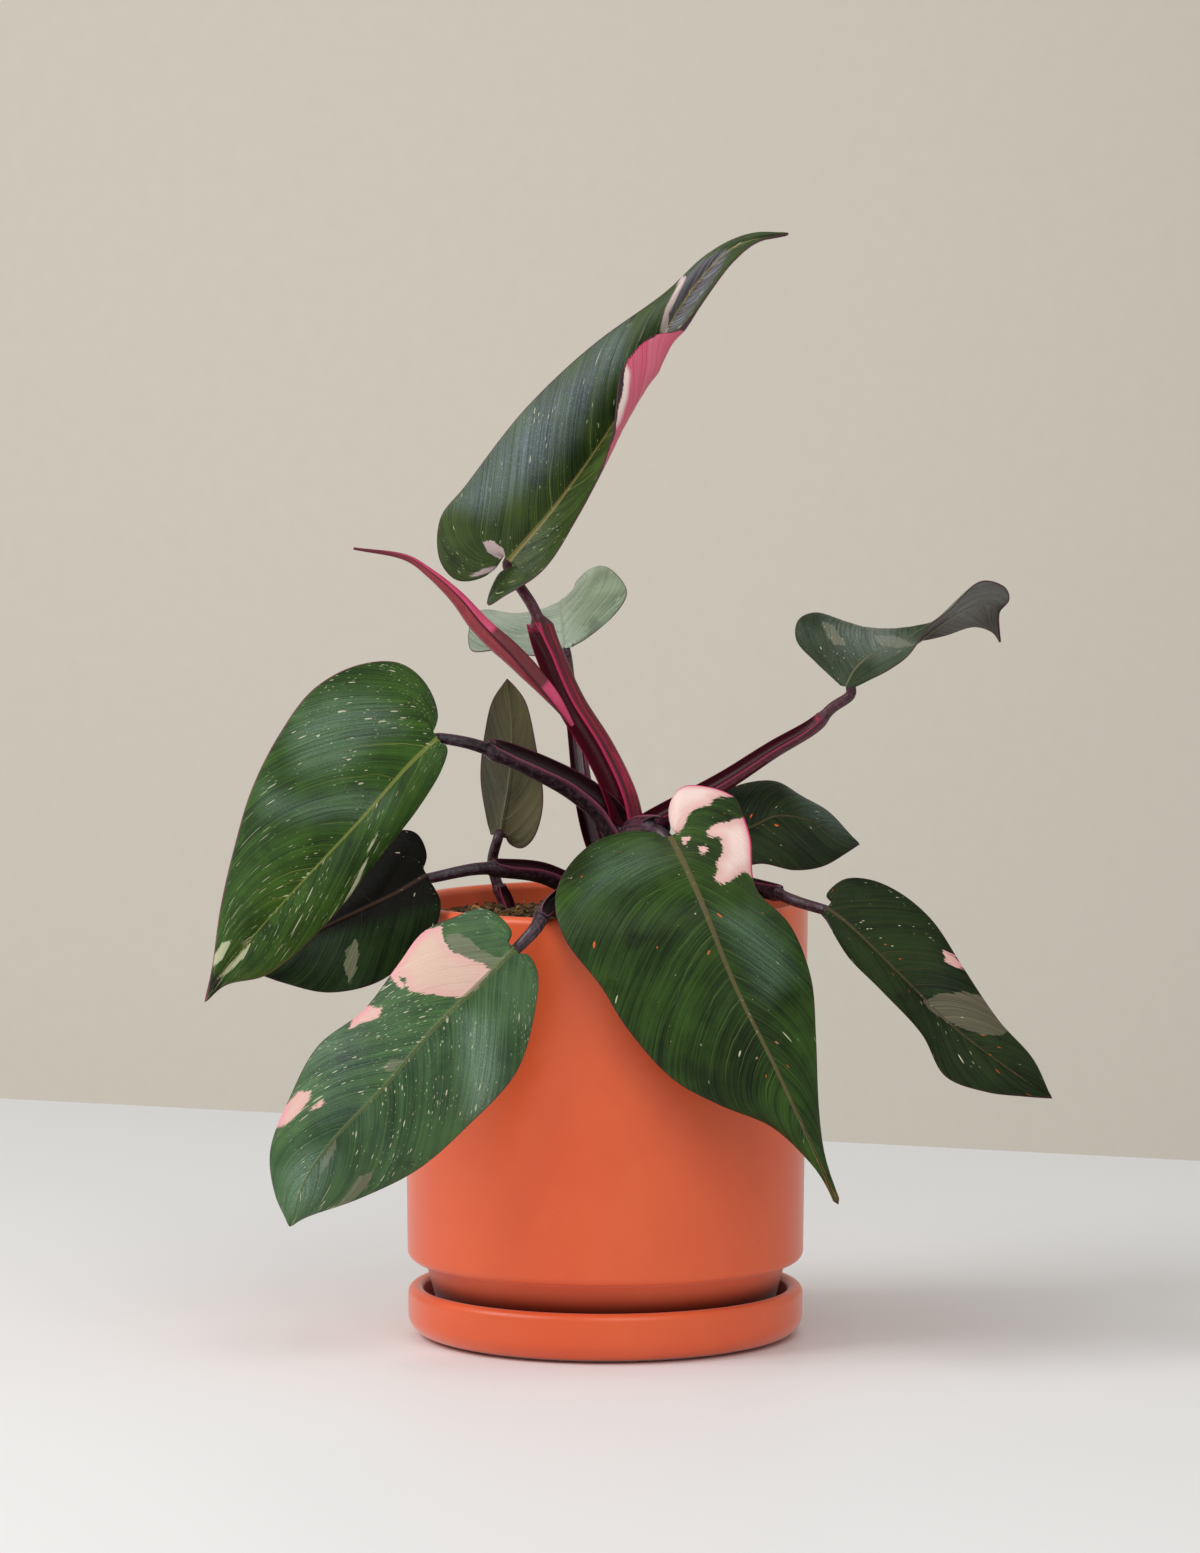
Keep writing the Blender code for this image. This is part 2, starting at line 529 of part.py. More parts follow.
def tube(name, route, radii, sides=STALK_SIDES, steps=STALK_STEPS, end_direction=None):
    """A round stalk along a smooth route, with flat ends. radii are (share of the length, radius)."""
    centres = smooth_curve(route, steps)
    radius = np.interp(np.linspace(0.0, 1.0, steps + 1), *np.transpose(radii))
    tangents = np.gradient(centres, axis=0)
    if end_direction is not None:
        tangents[-1] = end_direction
    vertices = []
    side_way = np.cross(unit(tangents[0]), np.array([0.3, 1.0, 0.2]))
    for centre, tangent, size in zip(centres, tangents, radius):
        tangent = unit(tangent)
        side_way = unit(side_way - tangent * np.dot(side_way, tangent))
        other = np.cross(tangent, side_way)
        for side in range(sides):
            angle = 2.0 * math.pi * side / sides
            vertices.append(centre + (side_way * math.cos(angle) + other * math.sin(angle)) * size)
    faces = [list(range(sides)), [steps * sides + side for side in range(sides)]]
    for ring in range(steps):
        for side in range(sides):
            after = (side + 1) % sides
            low = ring * sides
            high = low + sides
            faces.append([low + side, low + after, high + after, high + side])
    return add_object(name, vertices, faces)


def stalk(name, leaf, shape):
    """A leaf stalk with its sheath, whose end face meets the blade's, square to the midrib."""
    start, ahead, up, _ = blade_frame(LEAVES[leaf])
    end = start - up * STALK_TIP_DROP - ahead * STALK_GAP
    route = [*shape["route"], end - (ahead + up) * STALK_END_LENGTH, end]
    base, sheath, free = shape["radii"]
    sheath_end = shape["sheath_end"]
    radii = [(0.0, base), (sheath_end, sheath), (sheath_end + SHEATH_STEP, free),
             (1.0, STALK_TIP_RADIUS)]
    return tube(name, route, radii, end_direction=ahead)


def evenly(radii):
    """Radii given at even distances, as (share of the length, radius)."""
    return list(zip(np.linspace(0.0, 1.0, len(radii)), radii))


def main_stem():
    """The stem and the stalks that grow from it, joined into one body."""
    stem = tube("main_stem", MAIN_STEM_ROUTE,
                evenly((MAIN_STEM_RADIUS, MAIN_STEM_RADIUS, MAIN_STEM_TOP_RADIUS)), MAIN_STEM_SIDES)
    branches = bpy.data.collections.new("stalks")
    for leaf, shape in STALKS.items():
        branch = stalk("stalk_of_" + leaf, leaf, shape)
        bpy.context.scene.collection.objects.unlink(branch)
        branches.objects.link(branch)
    join = stem.modifiers.new("joined_stalks", "BOOLEAN")
    join.operation = "UNION"
    join.operand_type = "COLLECTION"
    join.collection = branches
    apply_modifiers(stem)
    for branch in list(branches.objects):
        bpy.data.objects.remove(branch)
    bpy.data.collections.remove(branches)
    return stem


def apply_modifiers(target):
    """Replaces an object's mesh with the one its modifiers make."""
    depsgraph = bpy.context.evaluated_depsgraph_get()
    made = bpy.data.meshes.new_from_object(target.evaluated_get(depsgraph))
    target.modifiers.clear()
    target.data = made


def side_stem():
    """The stalk of the small leaf, straight out of the soil."""
    return stalk("side_stem", "leaf_back_small", SIDE_STALK)


def rolled_leaf():
    """The new leaf, a spindle with its tip drawn out."""
    return tube("leaf_new_rolled", ROLLED_LEAF_ROUTE, evenly(ROLLED_LEAF_RADII), ROLLED_LEAF_SIDES,
                ROLLED_LEAF_STEPS)


def build():
    """Clears the scene and models every piece."""
    for old in list(bpy.data.objects):
        bpy.data.objects.remove(old)
    saucer()
    pot()
    soil()
    main_stem()
    side_stem()
    rolled_leaf()
    for name in LEAVES:
        blade(name)


build()
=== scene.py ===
import math
import random

import bpy
import numpy as np
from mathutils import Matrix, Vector, noise


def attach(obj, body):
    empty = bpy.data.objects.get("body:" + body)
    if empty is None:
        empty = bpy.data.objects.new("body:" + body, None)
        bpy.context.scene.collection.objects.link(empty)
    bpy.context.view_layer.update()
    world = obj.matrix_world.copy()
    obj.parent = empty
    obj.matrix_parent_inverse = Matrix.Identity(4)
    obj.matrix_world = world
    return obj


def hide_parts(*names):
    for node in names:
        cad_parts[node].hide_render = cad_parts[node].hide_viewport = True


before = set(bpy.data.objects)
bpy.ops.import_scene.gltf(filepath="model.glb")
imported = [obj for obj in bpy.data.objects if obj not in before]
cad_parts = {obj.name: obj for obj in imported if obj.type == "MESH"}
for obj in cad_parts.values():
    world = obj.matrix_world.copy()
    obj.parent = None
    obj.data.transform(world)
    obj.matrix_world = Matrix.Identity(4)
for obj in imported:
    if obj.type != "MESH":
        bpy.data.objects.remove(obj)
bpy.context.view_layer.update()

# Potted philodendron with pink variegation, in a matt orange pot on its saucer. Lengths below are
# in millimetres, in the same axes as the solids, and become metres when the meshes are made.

MM = 0.001
CURVE_GRAIN = 40
SEED = 11
LEAF_SEED = 0.37
LEAF_SEED_STEP = 10.0

# Camera
CAMERA_PLACE = (-2.25, -2500.0, 425.6)
CAMERA_PITCH_DOWN = 4.49
CAMERA_LENS = 142.35
CAMERA_SENSOR = 36.0
CAMERA_REACH_METRES = 20.0

# Table and wall. The far edge of the table runs askew, through two points (x, y).
TABLE_NEAR_Y = -1500.0
TABLE_HALF_WIDTH = 1600.0
TABLE_THICKNESS = 24.0
TABLE_EDGE_LEFT = (-318.0, 736.0)
TABLE_EDGE_RIGHT = (291.0, 502.0)
WALL_Y = 3400.0
WALL_HALF_WIDTH = 6000.0
WALL_LOW_Z = -3000.0
WALL_HIGH_Z = 5000.0

# Light from all round, and the lamps: place, width, power in watts and the point that each faces
AIR_COLOUR = (1.0, 0.99, 0.97, 1.0)
AIR_STRENGTH = 0.52
PLANT_MIDDLE = (0.0, 0.0, 180.0)
LAMPS = {
    "key_light": ((-1350.0, -550.0, 1350.0), 1000.0, 20.5, PLANT_MIDDLE),
    "front_light": ((400.0, -1750.0, 1850.0), 1400.0, 15.5, PLANT_MIDDLE),
    "wall_light": ((-500.0, 1500.0, 500.0), 2400.0, 24.0, (-200.0, WALL_Y, 400.0)),
}

# Pot and saucer
TURNED_SIDES = 192
ARC_STEPS = 10
FOOT_ARC_STEPS = 4
LIP_ARC_STEPS = 16
SMALL_BEVEL = 1.0
FOOT_GAP = 0.3
POT_RIM_RADIUS = 82.8
POT_HEIGHT = 179.0
POT_LOWER_RADIUS = 81.2
POT_LOWER_EDGE_Z = 31.2
POT_EDGE_ROUNDING = 4.0
POT_WALL = 6.0
POT_FLOOR = 6.0
POT_INNER_TAPER = 2.0
POT_INNER_SHOULDER = 8.0
POT_INNER_SHOULDER_HEIGHT = 12.0
POT_INNER_CORNER = 4.0
POT_ROUGHNESS = 0.42
FOOT_RADIUS = 67.5
FOOT_TOP_RADIUS = 74.0
FOOT_TOP_DROP = 0.5
# Height below the pot's lower edge over which painted shade darkens its foot
FOOT_SHADOW_HEIGHT = 14.0
FOOT_RECESS_RADIUS = 55.0
FOOT_RECESS_DEPTH = 3.0
FOOT_ROUNDING = 1.5
DRAIN_RADIUS = 6.0
SAUCER_RADIUS = 81.0
SAUCER_HEIGHT = 20.6
SAUCER_FLOOR_Z = 5.3
SAUCER_FOOT_RADIUS = 72.0
SAUCER_INNER_RADIUS = 74.0
SAUCER_BOTTOM_ROUNDING = 8.0
SAUCER_RIM_ROUNDING = 3.3
SAUCER_COVE = 3.0
SAUCER_COVE_INSET = 1.5
SAUCER_SIDE_LIFT = 1.0
SAUCER_SIDE_START = -80.0
SAUCER_FOOT_LIFT = 0.2
SAUCER_ROUGHNESS = 0.34

# Soil
SOIL_TOP = 171.0
SOIL_RADIUS = 76.4
SOIL_RINGS = 44
SOIL_SPOKES = 120
SOIL_ROUGHNESS_HEIGHT = 2.4
SOIL_SINK = 1.2
SOIL_SKIRT = 30.0
LUMP_SCALE = 0.12
CRUMB_SCALE = 0.4
CRUMB_SHARE = 0.6
SHADE_SCALE = 0.5

# Loose chips of bark. Each draws from these ranges its length in millimetres and the share of it that
# is kept, its width and thickness as shares of its length, its slope, its height over the soil in
# millimetres, and how far each corner strays. A chip is a slab whose ends come to a ridge, with its
# corners in half sizes.
CHIP_COUNT = 1500
CHIP_EDGE_GAP = 4.0
CHIP_LENGTH = (1.4, 5.2)
CHIP_SHORTENING = (0.5, 1.0)
CHIP_WIDTH = (0.3, 0.75)
CHIP_THICKNESS = (0.16, 0.5)
CHIP_TILT = (-0.5, 0.5)
CHIP_RISE = (-1.4, 1.8)
CHIP_RAGGEDNESS = (0.75, 1.15)
CHIP_CORNERS = [(-1, -1, -1), (1, -1, -1), (1, 1, -1), (-1, 1, -1),
                (-0.8, -0.8, 1), (0.8, -0.8, 1), (0.8, 0.8, 1), (-0.8, 0.8, 1),
                (-1.3, 0, 0), (1.3, 0, 0)]
CHIP_FACES = [(3, 2, 1, 0), (4, 5, 6, 7), (0, 1, 5, 4), (2, 3, 7, 6),
              (1, 2, 9), (2, 6, 9), (6, 5, 9), (5, 1, 9),
              (3, 0, 8), (0, 4, 8), (4, 7, 8), (7, 3, 8)]

# Blades
THICKNESS = 0.7
RIM_THICKNESS = 0.3
RIM_WIDTH = 1.2
RIB_RISE = 0.35
RIB_TAPER = 0.75
KEEL_TAPER = 0.85
KEEL_REACH = 1.3
KEEL_POWER = 0.7
SINUS_HALF_WIDTH = 3.2
LOBE_EASE = 6
LEAST_LOBE_SHARE = 0.14
FRAME_STEPS = 96
FINE_STEPS = 160
ROWS = 132
COLUMNS = 26
VEIN_SPACING = 9.5
SWEEP_POWER = 1.25
QUILT = 0.14
QUILT_POWER = 0.7
QUILT_LEVEL = 0.6
RIPPLE = 0.35
RIPPLE_SCALE = 0.035
FAR_OUTSIDE = -60.0
MERGE_GRAIN = 0.03

# Stalks. The main stem swells in waves, which run on for some radians from its foot to its top.
CHANNEL_POINTS = 20
LIP_POINTS = 4
OUTER_POINTS = 24
STALK_SIDES = CHANNEL_POINTS + 2 * LIP_POINTS + OUTER_POINTS
STALK_STEPS = 110
STALK_NUMBERS = ("crimson", "channel", "sheath_edge", "round_x", "round_y", "run_mm")
SHEATH_STEP = 0.035
SHEATH_CLOSING = 0.16
SHEATH_TIP_REACH = 0.9
LIP_ANGLE = 58.0
LIP_ANGLE_CLOSED = 16.0
LIP_HEIGHT = 0.16
LIP_SHARE = 0.1
CHANNEL_DEPTH = 1.15
STALK_END_LENGTH = 3.0
STALK_END_LEAN = 0.8
STALK_TIP_RADIUS = 2.1
STALK_TIP_DROP = 1.5
STALK_OVERLAP = 1.5
FREE_STALK_REDNESS = 0.35
MAIN_STEM_RADIUS = 8.0
MAIN_STEM_SLIMNESS = 0.96
MAIN_STEM_SWELL = 0.05
MAIN_STEM_SWELL_REACH = 22.0
MAIN_STEM_OPENS = (0, -1, 0.1)
MAIN_STEM_END_WAY = (0.2, 0.0, 1.0)
MAIN_STEM_CRIMSON = 0.1

# Each leaf has points chosen along its midrib, from the stalk to the tip, and along its left and
# right edges as seen from above with the tip ahead, from beside the stalk round the lobe towards
# the tip. arch is how far the blade bulges upwards between midrib and edge, along each edge.
LEAVES = {
    "leaf_top": {
        "midrib": [
            (-39, -8, 318), (-20, -4, 340), (-4, 0, 362), (10, 4, 384), (24, 6, 410), (38, 4, 431),
            (53, 0, 445), (74, -6, 450)],
        "left": [
            (-48, -10, 312), (-60, -14, 310), (-67, -16, 318), (-67, -14, 335), (-57, -10, 348),
            (-32, -2, 380), (-4, 4, 406), (25, 8, 427), (42, 6, 442), (60, 0, 450)],
        "right": [
            (-43, -12, 313), (-48, -16, 300), (-41, -20, 304), (-26, -24, 314), (-12, -30, 335),
            (-2, -34, 355), (3, -34, 371), (7, -28, 396), (19, -16, 409), (29, -8, 411), (37, -6, 420),
            (52, -8, 439), (62, -8, 447)],
        "arch_left": (0, 2, 4, 3, 1),
        "arch_right": (0, 0, -2, -2, -4, -9, -4, -1, 0),
    },
    "leaf_back_top": {
        "midrib": [(-17, 45, 279), (-18, 56, 289), (-19, 75, 295), (-17, 100, 297), (-11, 130, 295)],
        "left": [
            (-27, 45, 276), (-44, 52, 278), (-56, 66, 277), (-57, 84, 287), (-52, 102, 292),
            (-36, 118, 290)],
        "right": [
            (-8, 46, 283), (3, 50, 292), (9, 62, 301), (4, 80, 309), (-2, 96, 311), (-9, 112, 307),
            (-13, 122, 301)],
        "arch_left": (0, -2, -4, -3),
        "arch_right": (1, 1, 0, 0),
    },
    "leaf_right_far": {
        "midrib": [
            (99, 16, 265), (103, 18, 272), (110, 18, 278), (120, 18, 281), (127, 18, 283), (139, 16, 292),
            (152, 16, 299), (159, 18, 298), (162, 20, 283)],
        "left": [
            (96, 22, 267), (87, 32, 274), (79, 38, 283), (80, 42, 291), (87, 44, 294), (102, 42, 289),
            (117, 36, 286), (128, 30, 283), (139, 28, 285), (152, 28, 289), (159, 26, 287)],
        "right": [
            (102, 12, 265), (109, 4, 269), (117, 0, 274), (124, 4, 279), (132, 4, 290), (140, 2, 297),
            (153, -2, 309), (162, 0, 307), (165, 8, 301), (161, 15, 295)],
        "arch_left": (1, 1, 1, 0),
        "arch_right": (1, 1, 1, 0),
    },
    "leaf_left_big": {
        "midrib": [
            (-68, -30, 247), (-79, -38, 237), (-99, -50, 215), (-124, -62, 189), (-143, -72, 168),
            (-159, -80, 146)],
        "left": [
            (-64, -30, 243), (-66, -32, 235), (-75, -38, 220), (-91, -46, 200), (-106, -54, 181),
            (-122, -62, 165), (-136, -68, 155), (-151, -76, 152)],
        "right": [
            (-68, -26, 257), (-73, -24, 269), (-83, -26, 277), (-99, -34, 277), (-117, -46, 268),
            (-130, -56, 251), (-141, -64, 229), (-148, -70, 205), (-153, -76, 182), (-156, -80, 160)],
        "arch_left": (1, 2, 3, 2, 1),
        "arch_right": (1, 3, 4, 3, 1),
    },
    "leaf_left_behind": {
        "midrib": [
            (-72, -46, 193), (-84, -47, 186), (-98, -45, 179), (-114, -42, 171), (-130, -38, 161),
            (-145, -34, 154)],
        "left": [
            (-69, -49, 188), (-66, -54, 183), (-68, -56, 173), (-77, -56, 162), (-91, -54, 151),
            (-111, -48, 146), (-129, -40, 149)],
        "right": [
            (-72, -42, 201), (-76, -36, 209), (-83, -32, 210), (-95, -28, 203), (-111, -26, 191),
            (-127, -26, 178), (-138, -30, 165)],
        "arch_left": (1, 2, 2, 1),
        "arch_right": (1, 2, 2, 1),
    },
    "leaf_front_left": {
        "midrib": [
            (-36, -98, 169), (-46, -101, 159), (-67, -106, 139), (-87, -110, 116), (-107, -112, 95),
            (-118, -112, 79), (-124, -110, 61)],
        "left": [
            (-31, -98, 167), (-27, -97, 160), (-28, -95, 144), (-35, -94, 120), (-55, -96, 98),
            (-74, -100, 82), (-97, -104, 71), (-118, -108, 64)],
        "right": [
            (-37, -94, 175), (-42, -90, 181), (-49, -88, 184), (-59, -89, 181), (-72, -92, 175),
            (-82, -96, 162), (-95, -98, 145), (-113, -100, 131), (-124, -102, 111), (-132, -104, 89),
            (-130, -106, 73)],
        "arch_left": (1, 2, 2, 1),
        "arch_right": (1, 2, 3, 1),
    },
    "leaf_front_centre": {
        "midrib": [
            (26, -42, 208), (32, -72, 198), (38, -90, 186), (51, -97, 154), (66, -102, 124), (81, -108, 92),
            (91, -112, 70)],
        "left": [
            (29, -36, 213), (26, -31, 220), (31, -26, 227), (41, -24, 227), (52, -28, 223), (55, -35, 217),
            (58, -50, 208), (60, -72, 190), (73, -84, 177), (81, -88, 157), (83, -92, 133), (84, -98, 104),
            (87, -106, 82)],
        "right": [
            (19, -41, 209), (9, -40, 210), (-3, -44, 207), (-15, -62, 198), (-20, -84, 185),
            (-16, -92, 172), (-2, -96, 154), (8, -98, 138), (27, -98, 117), (45, -98, 107), (65, -100, 99),
            (79, -104, 87), (87, -108, 79)],
        "arch_left": (1, 3, 2, 2, 1),
        "arch_right": (1, 2, 3, 2, 1),
    },
    "leaf_back_small": {
        "midrib": [(-44, 44, 201), (-41, 46, 216), (-39, 49, 232), (-39, 52, 249), (-41, 54, 266)],
        "left": [
            (-40, 43, 198), (-35, 42, 196), (-30, 41, 200), (-26, 42, 214), (-29, 46, 239), (-33, 50, 256),
            (-37, 53, 262)],
        "right": [(-48, 45, 203), (-50, 46, 211), (-52, 48, 226), (-50, 51, 245), (-47, 53, 257)],
        "arch_left": (0, 1, 1, 0),
        "arch_right": (0, 1, 1, 0),
    },
    "leaf_right_mid": {
        "midrib": [
            (43, -2, 201), (60, 6, 208), (70, 10, 212), (80, 12, 211), (92, 14, 206), (104, 14, 200)],
        "left": [(41, 4, 208), (45, 14, 219), (55, 22, 224), (70, 26, 225), (81, 24, 219), (92, 20, 213)],
        "right": [
            (45, -7, 196), (53, -9, 193), (64, -6, 194), (77, -2, 191), (89, 4, 192), (99, 10, 197)],
        "arch_left": (1, 2, 2, 1),
        "arch_right": (1, 2, 2, 1),
    },
    "leaf_right_low": {
        "midrib": [
            (88, -70, 182), (95, -73, 177), (116, -80, 157), (137, -86, 137), (158, -90, 121),
            (176, -92, 109)],
        "left": [
            (88, -66, 187), (95, -64, 193), (105, -64, 193), (117, -66, 188), (130, -68, 177),
            (142, -74, 159), (156, -80, 138), (169, -86, 124)],
        "right": [
            (89, -74, 176), (96, -78, 164), (109, -84, 151), (125, -90, 134), (134, -94, 118),
            (150, -96, 112), (165, -94, 110)],
        "arch_left": (1, 2, 2, 1),
        "arch_right": (1, 2, 2, 1),
    },
}

# Outlines of the coloured patches, as (x, z) where the line of sight from the camera through a
# point of the patch meets the plane y = 0. pink and cream are plain colours and pale is a marbled
# green. sheen is painted sheen, a pale grey reflection of the light painted into the colour. shade
# is a dull purple, partly painted shade, where the blade curls over near its tip. The nearly black
# patches are painted shadow, where a leaf above shades the blade and where a tip curls over. On the
# underside, under takes the place of pink, and blush is nearly white.
MARKS = {
    "leaf_top": {
        "cream": [
            [(-50, 325), (-47, 326), (-42, 323), (-40, 319), (-43, 318), (-48, 321)],
            [(-56, 311), (-50, 314), (-42, 316), (-46, 313), (-53, 311)],
            [(22, 410), (24, 419), (28, 427), (31, 433), (33, 433), (30, 427), (26, 418), (25, 410)]],
        "sheen": [
            [(-62, 340), (-51, 356), (-38, 371), (-27, 382), (-15, 392), (-1, 406), (7, 413), (7, 398),
             (-1, 389), (-8, 378), (-15, 366), (-23, 356), (-33, 347), (-48, 336)]],
        "shade": [
            [(29, 427), (32, 433), (38, 439), (47, 444), (51, 444), (47, 436), (42, 428), (36, 420),
             (31, 413), (25, 410), (24, 411), (25, 418)]],
        "under": [
            [(32, 411), (23, 410), (15, 406), (9, 399), (8, 396), (7, 386), (5, 379), (4, 369), (-2, 352),
             (-14, 330), (-2, 335), (10, 360), (16, 384), (26, 398)]],
        "blush": [[(8, 398), (6, 390), (5, 381), (4, 371), (6, 374), (9, 384), (10, 394)]],
    },
    "leaf_back_top": {
        "sheen": [[(-60, 300), (-60, 276), (-8, 276), (-14, 300), (-8, 316)]],
    },
    "leaf_right_far": {
        "pale": [
            [(88, 293), (93, 291), (98, 283), (93, 283), (90, 288)],
            [(110, 287), (118, 287), (126, 283), (119, 282), (112, 283)]],
        "sheen": [
            [(92, 292), (112, 293), (124, 284), (112, 278), (104, 282), (96, 284)],
            [(137, 300), (152, 312), (164, 309), (167, 298), (152, 291), (138, 290)]],
    },
    "leaf_left_big": {
        "cream": [
            [(-97, 197), (-100, 192), (-103, 186), (-107, 177), (-102, 184), (-99, 190)],
            [(-93, 206), (-96, 202), (-98, 197), (-95, 201)],
            [(-144, 162), (-150, 156), (-155, 151), (-159, 146), (-154, 149), (-148, 155)],
            [(-153, 162), (-157, 161), (-160, 156), (-161, 151), (-157, 154), (-155, 158)]],
        "sheen": [
            [(-125, 254), (-112, 262), (-96, 263), (-87, 257), (-83, 248), (-92, 245), (-108, 231),
             (-125, 231), (-129, 244)],
            [(-140, 224), (-125, 220), (-104, 224), (-88, 220), (-96, 214), (-117, 211), (-140, 214)]],
        "painted_shadow": [[(-157, 149), (-164, 149), (-164, 134), (-155, 139)]],
    },
    "leaf_left_behind": {
        "pale": [[(-102, 163), (-106, 158), (-107, 151), (-105, 144), (-102, 150), (-101, 157)]],
        "painted_shadow": [[(-66, 216), (-100, 216), (-150, 160), (-128, 160), (-96, 168), (-64, 178)]],
    },
    "leaf_front_left": {
        "pink": [
            [(-67, 168), (-72, 167), (-78, 164), (-82, 161), (-86, 157), (-90, 150), (-88, 147),
             (-86, 144), (-83, 142), (-83, 144), (-81, 145), (-82, 147), (-85, 147), (-80, 141), (-76, 140),
             (-69, 140), (-60, 138), (-57, 139), (-52, 143), (-47, 149), (-46, 151), (-48, 151), (-51, 153),
             (-55, 154), (-62, 157), (-65, 160), (-67, 165)],
            [(-91, 134), (-97, 135), (-103, 132), (-105, 125), (-100, 128), (-93, 130)],
            [(-120, 100), (-126, 100), (-132, 93), (-136, 84), (-129, 87), (-123, 94)],
            [(-114, 97), (-118, 96), (-122, 92), (-117, 93)]],
        "pale": [
            [(-66, 164), (-60, 165), (-55, 162), (-51, 158), (-44, 155), (-40, 156), (-45, 149),
             (-52, 152), (-62, 156)],
            [(-110, 81), (-114, 76), (-118, 65), (-114, 69), (-111, 76)],
            [(-95, 67), (-102, 64), (-107, 57), (-112, 50), (-105, 54), (-98, 60)],
            [(-83, 113), (-88, 113), (-92, 109), (-87, 108)]],
        "sheen": [
            [(-58, 130), (-46, 130), (-44, 109), (-47, 94), (-55, 92), (-59, 109)],
            [(-131, 66), (-122, 74), (-112, 73), (-119, 57), (-129, 50)]],
    },
    "leaf_front_centre": {
        "pink": [
            [(29, 206), (24, 206), (24, 228), (34, 230), (46, 228), (56, 226), (53, 221), (47, 221),
             (44, 220), (43, 218), (37, 216), (34, 214), (32, 209), (30, 206)],
            [(41, 205), (42, 208), (46, 210), (51, 211), (58, 213), (61, 216), (66, 210), (66, 184),
             (63, 185), (58, 190), (56, 190), (52, 187), (48, 185), (46, 186), (44, 188), (46, 190),
             (45, 194), (48, 198), (47, 204)],
            [(31, 204), (35, 205), (34, 203), (32, 201)],
            [(38, 200), (41, 201), (42, 198), (39, 197)]],
        "sheen": [
            [(-2, 198), (16, 201), (24, 194), (12, 186), (0, 182), (-10, 177)],
            [(46, 172), (60, 175), (72, 161), (76, 147), (66, 138), (56, 157)]],
    },
    "leaf_back_small": {
        "sheen": [[(-43, 262), (-41, 240), (-43, 218), (-47, 202), (-56, 206), (-58, 234), (-50, 258)]],
    },
    "leaf_right_mid": {
        "sheen": [[(77, 224), (90, 222), (100, 214), (103, 205), (94, 208), (84, 215)]],
    },
    "leaf_right_low": {
        "pink": [[(138, 158), (143, 156), (148, 150), (144, 151), (139, 154)]],
        "pale": [
            [(130, 137), (137, 140), (146, 141), (155, 139), (160, 133), (165, 125), (163, 123),
             (155, 123), (146, 126), (139, 129), (133, 133)]],
    },
}
PATCHES = ("pink", "cream", "pale", "sheen", "shade", "blush", "painted_shadow")

# Colours of the leaves, the pot, the soil, the stalks, the rolled leaf and the stage, as 8-bit sRGB
# numbers
PINK = (220, 172, 164)
PEACH = (216, 186, 166)
WHITE_PINK = (248, 224, 216)
HOT_PINK = (206, 46, 98)
BLUSH = (226, 150, 158)
CREAM = (206, 198, 170)
PALE_GREEN = (118, 126, 96)
PALE_BEIGE = (114, 106, 88)
SILVER = (138, 154, 152)
PURPLE_SHADE = (74, 62, 70)
SHADOW_BLACK = (10, 9, 4)
MARGIN = (78, 34, 48)
MARGIN_PINK = (132, 52, 84)
FLECK = (214, 212, 180)
RUSTY_DOT = (214, 96, 44)
UNDER_PINK = (206, 66, 104)
UNDER_BLUSH = (220, 120, 138)
# Painted shade at the bottom of the pot's foot
FOOT_SHADOW_COLOUR = (70, 16, 8)
GLAZE = (222, 88, 42)
GLAZE_CLOUD = (228, 96, 50)
GLAZE_SPECK = (170, 60, 30)
SOIL_DARK = (46, 32, 20)
BARK_BROWN = (124, 92, 54)
BARK_PALE = (166, 126, 76)
SOIL_GRAIN = (40, 28, 18)
SKIN_DARK = (24, 14, 20)
SKIN_MOTTLE = (74, 60, 70)
SKIN_STRIPE = (104, 58, 78)
CRIMSON_DARK = (54, 6, 20)
CRIMSON = (110, 6, 32)
CRIMSON_STRIPE = (176, 22, 72)
CHANNEL_DARK = (18, 4, 8)
CHANNEL_STRIPE = (40, 8, 16)
CHANNEL_CRIMSON = (84, 6, 28)
SHEATH_EDGE = (132, 66, 90)
SHEATH_EDGE_CRIMSON = (188, 30, 82)
ROLL_RED = (120, 26, 38)
ROLL_RED_GRAIN = (164, 52, 64)
ROLL_BLOOM = (180, 82, 90)
ROLL_PINK = (198, 34, 88)
ROLL_PINK_GRAIN = (226, 96, 132)
ROLL_BAND = (90, 22, 32)
ROLL_BAND_GRAIN = (128, 46, 54)
ROLL_TIP = (104, 18, 38)
ROLL_SEAM = (78, 6, 24)
TABLE_WHITE = (232, 232, 232)
TABLE_CLOUD = (235, 235, 235)
WALL_GREY = (196, 189, 177)
WALL_TOOTH = (201, 195, 183)
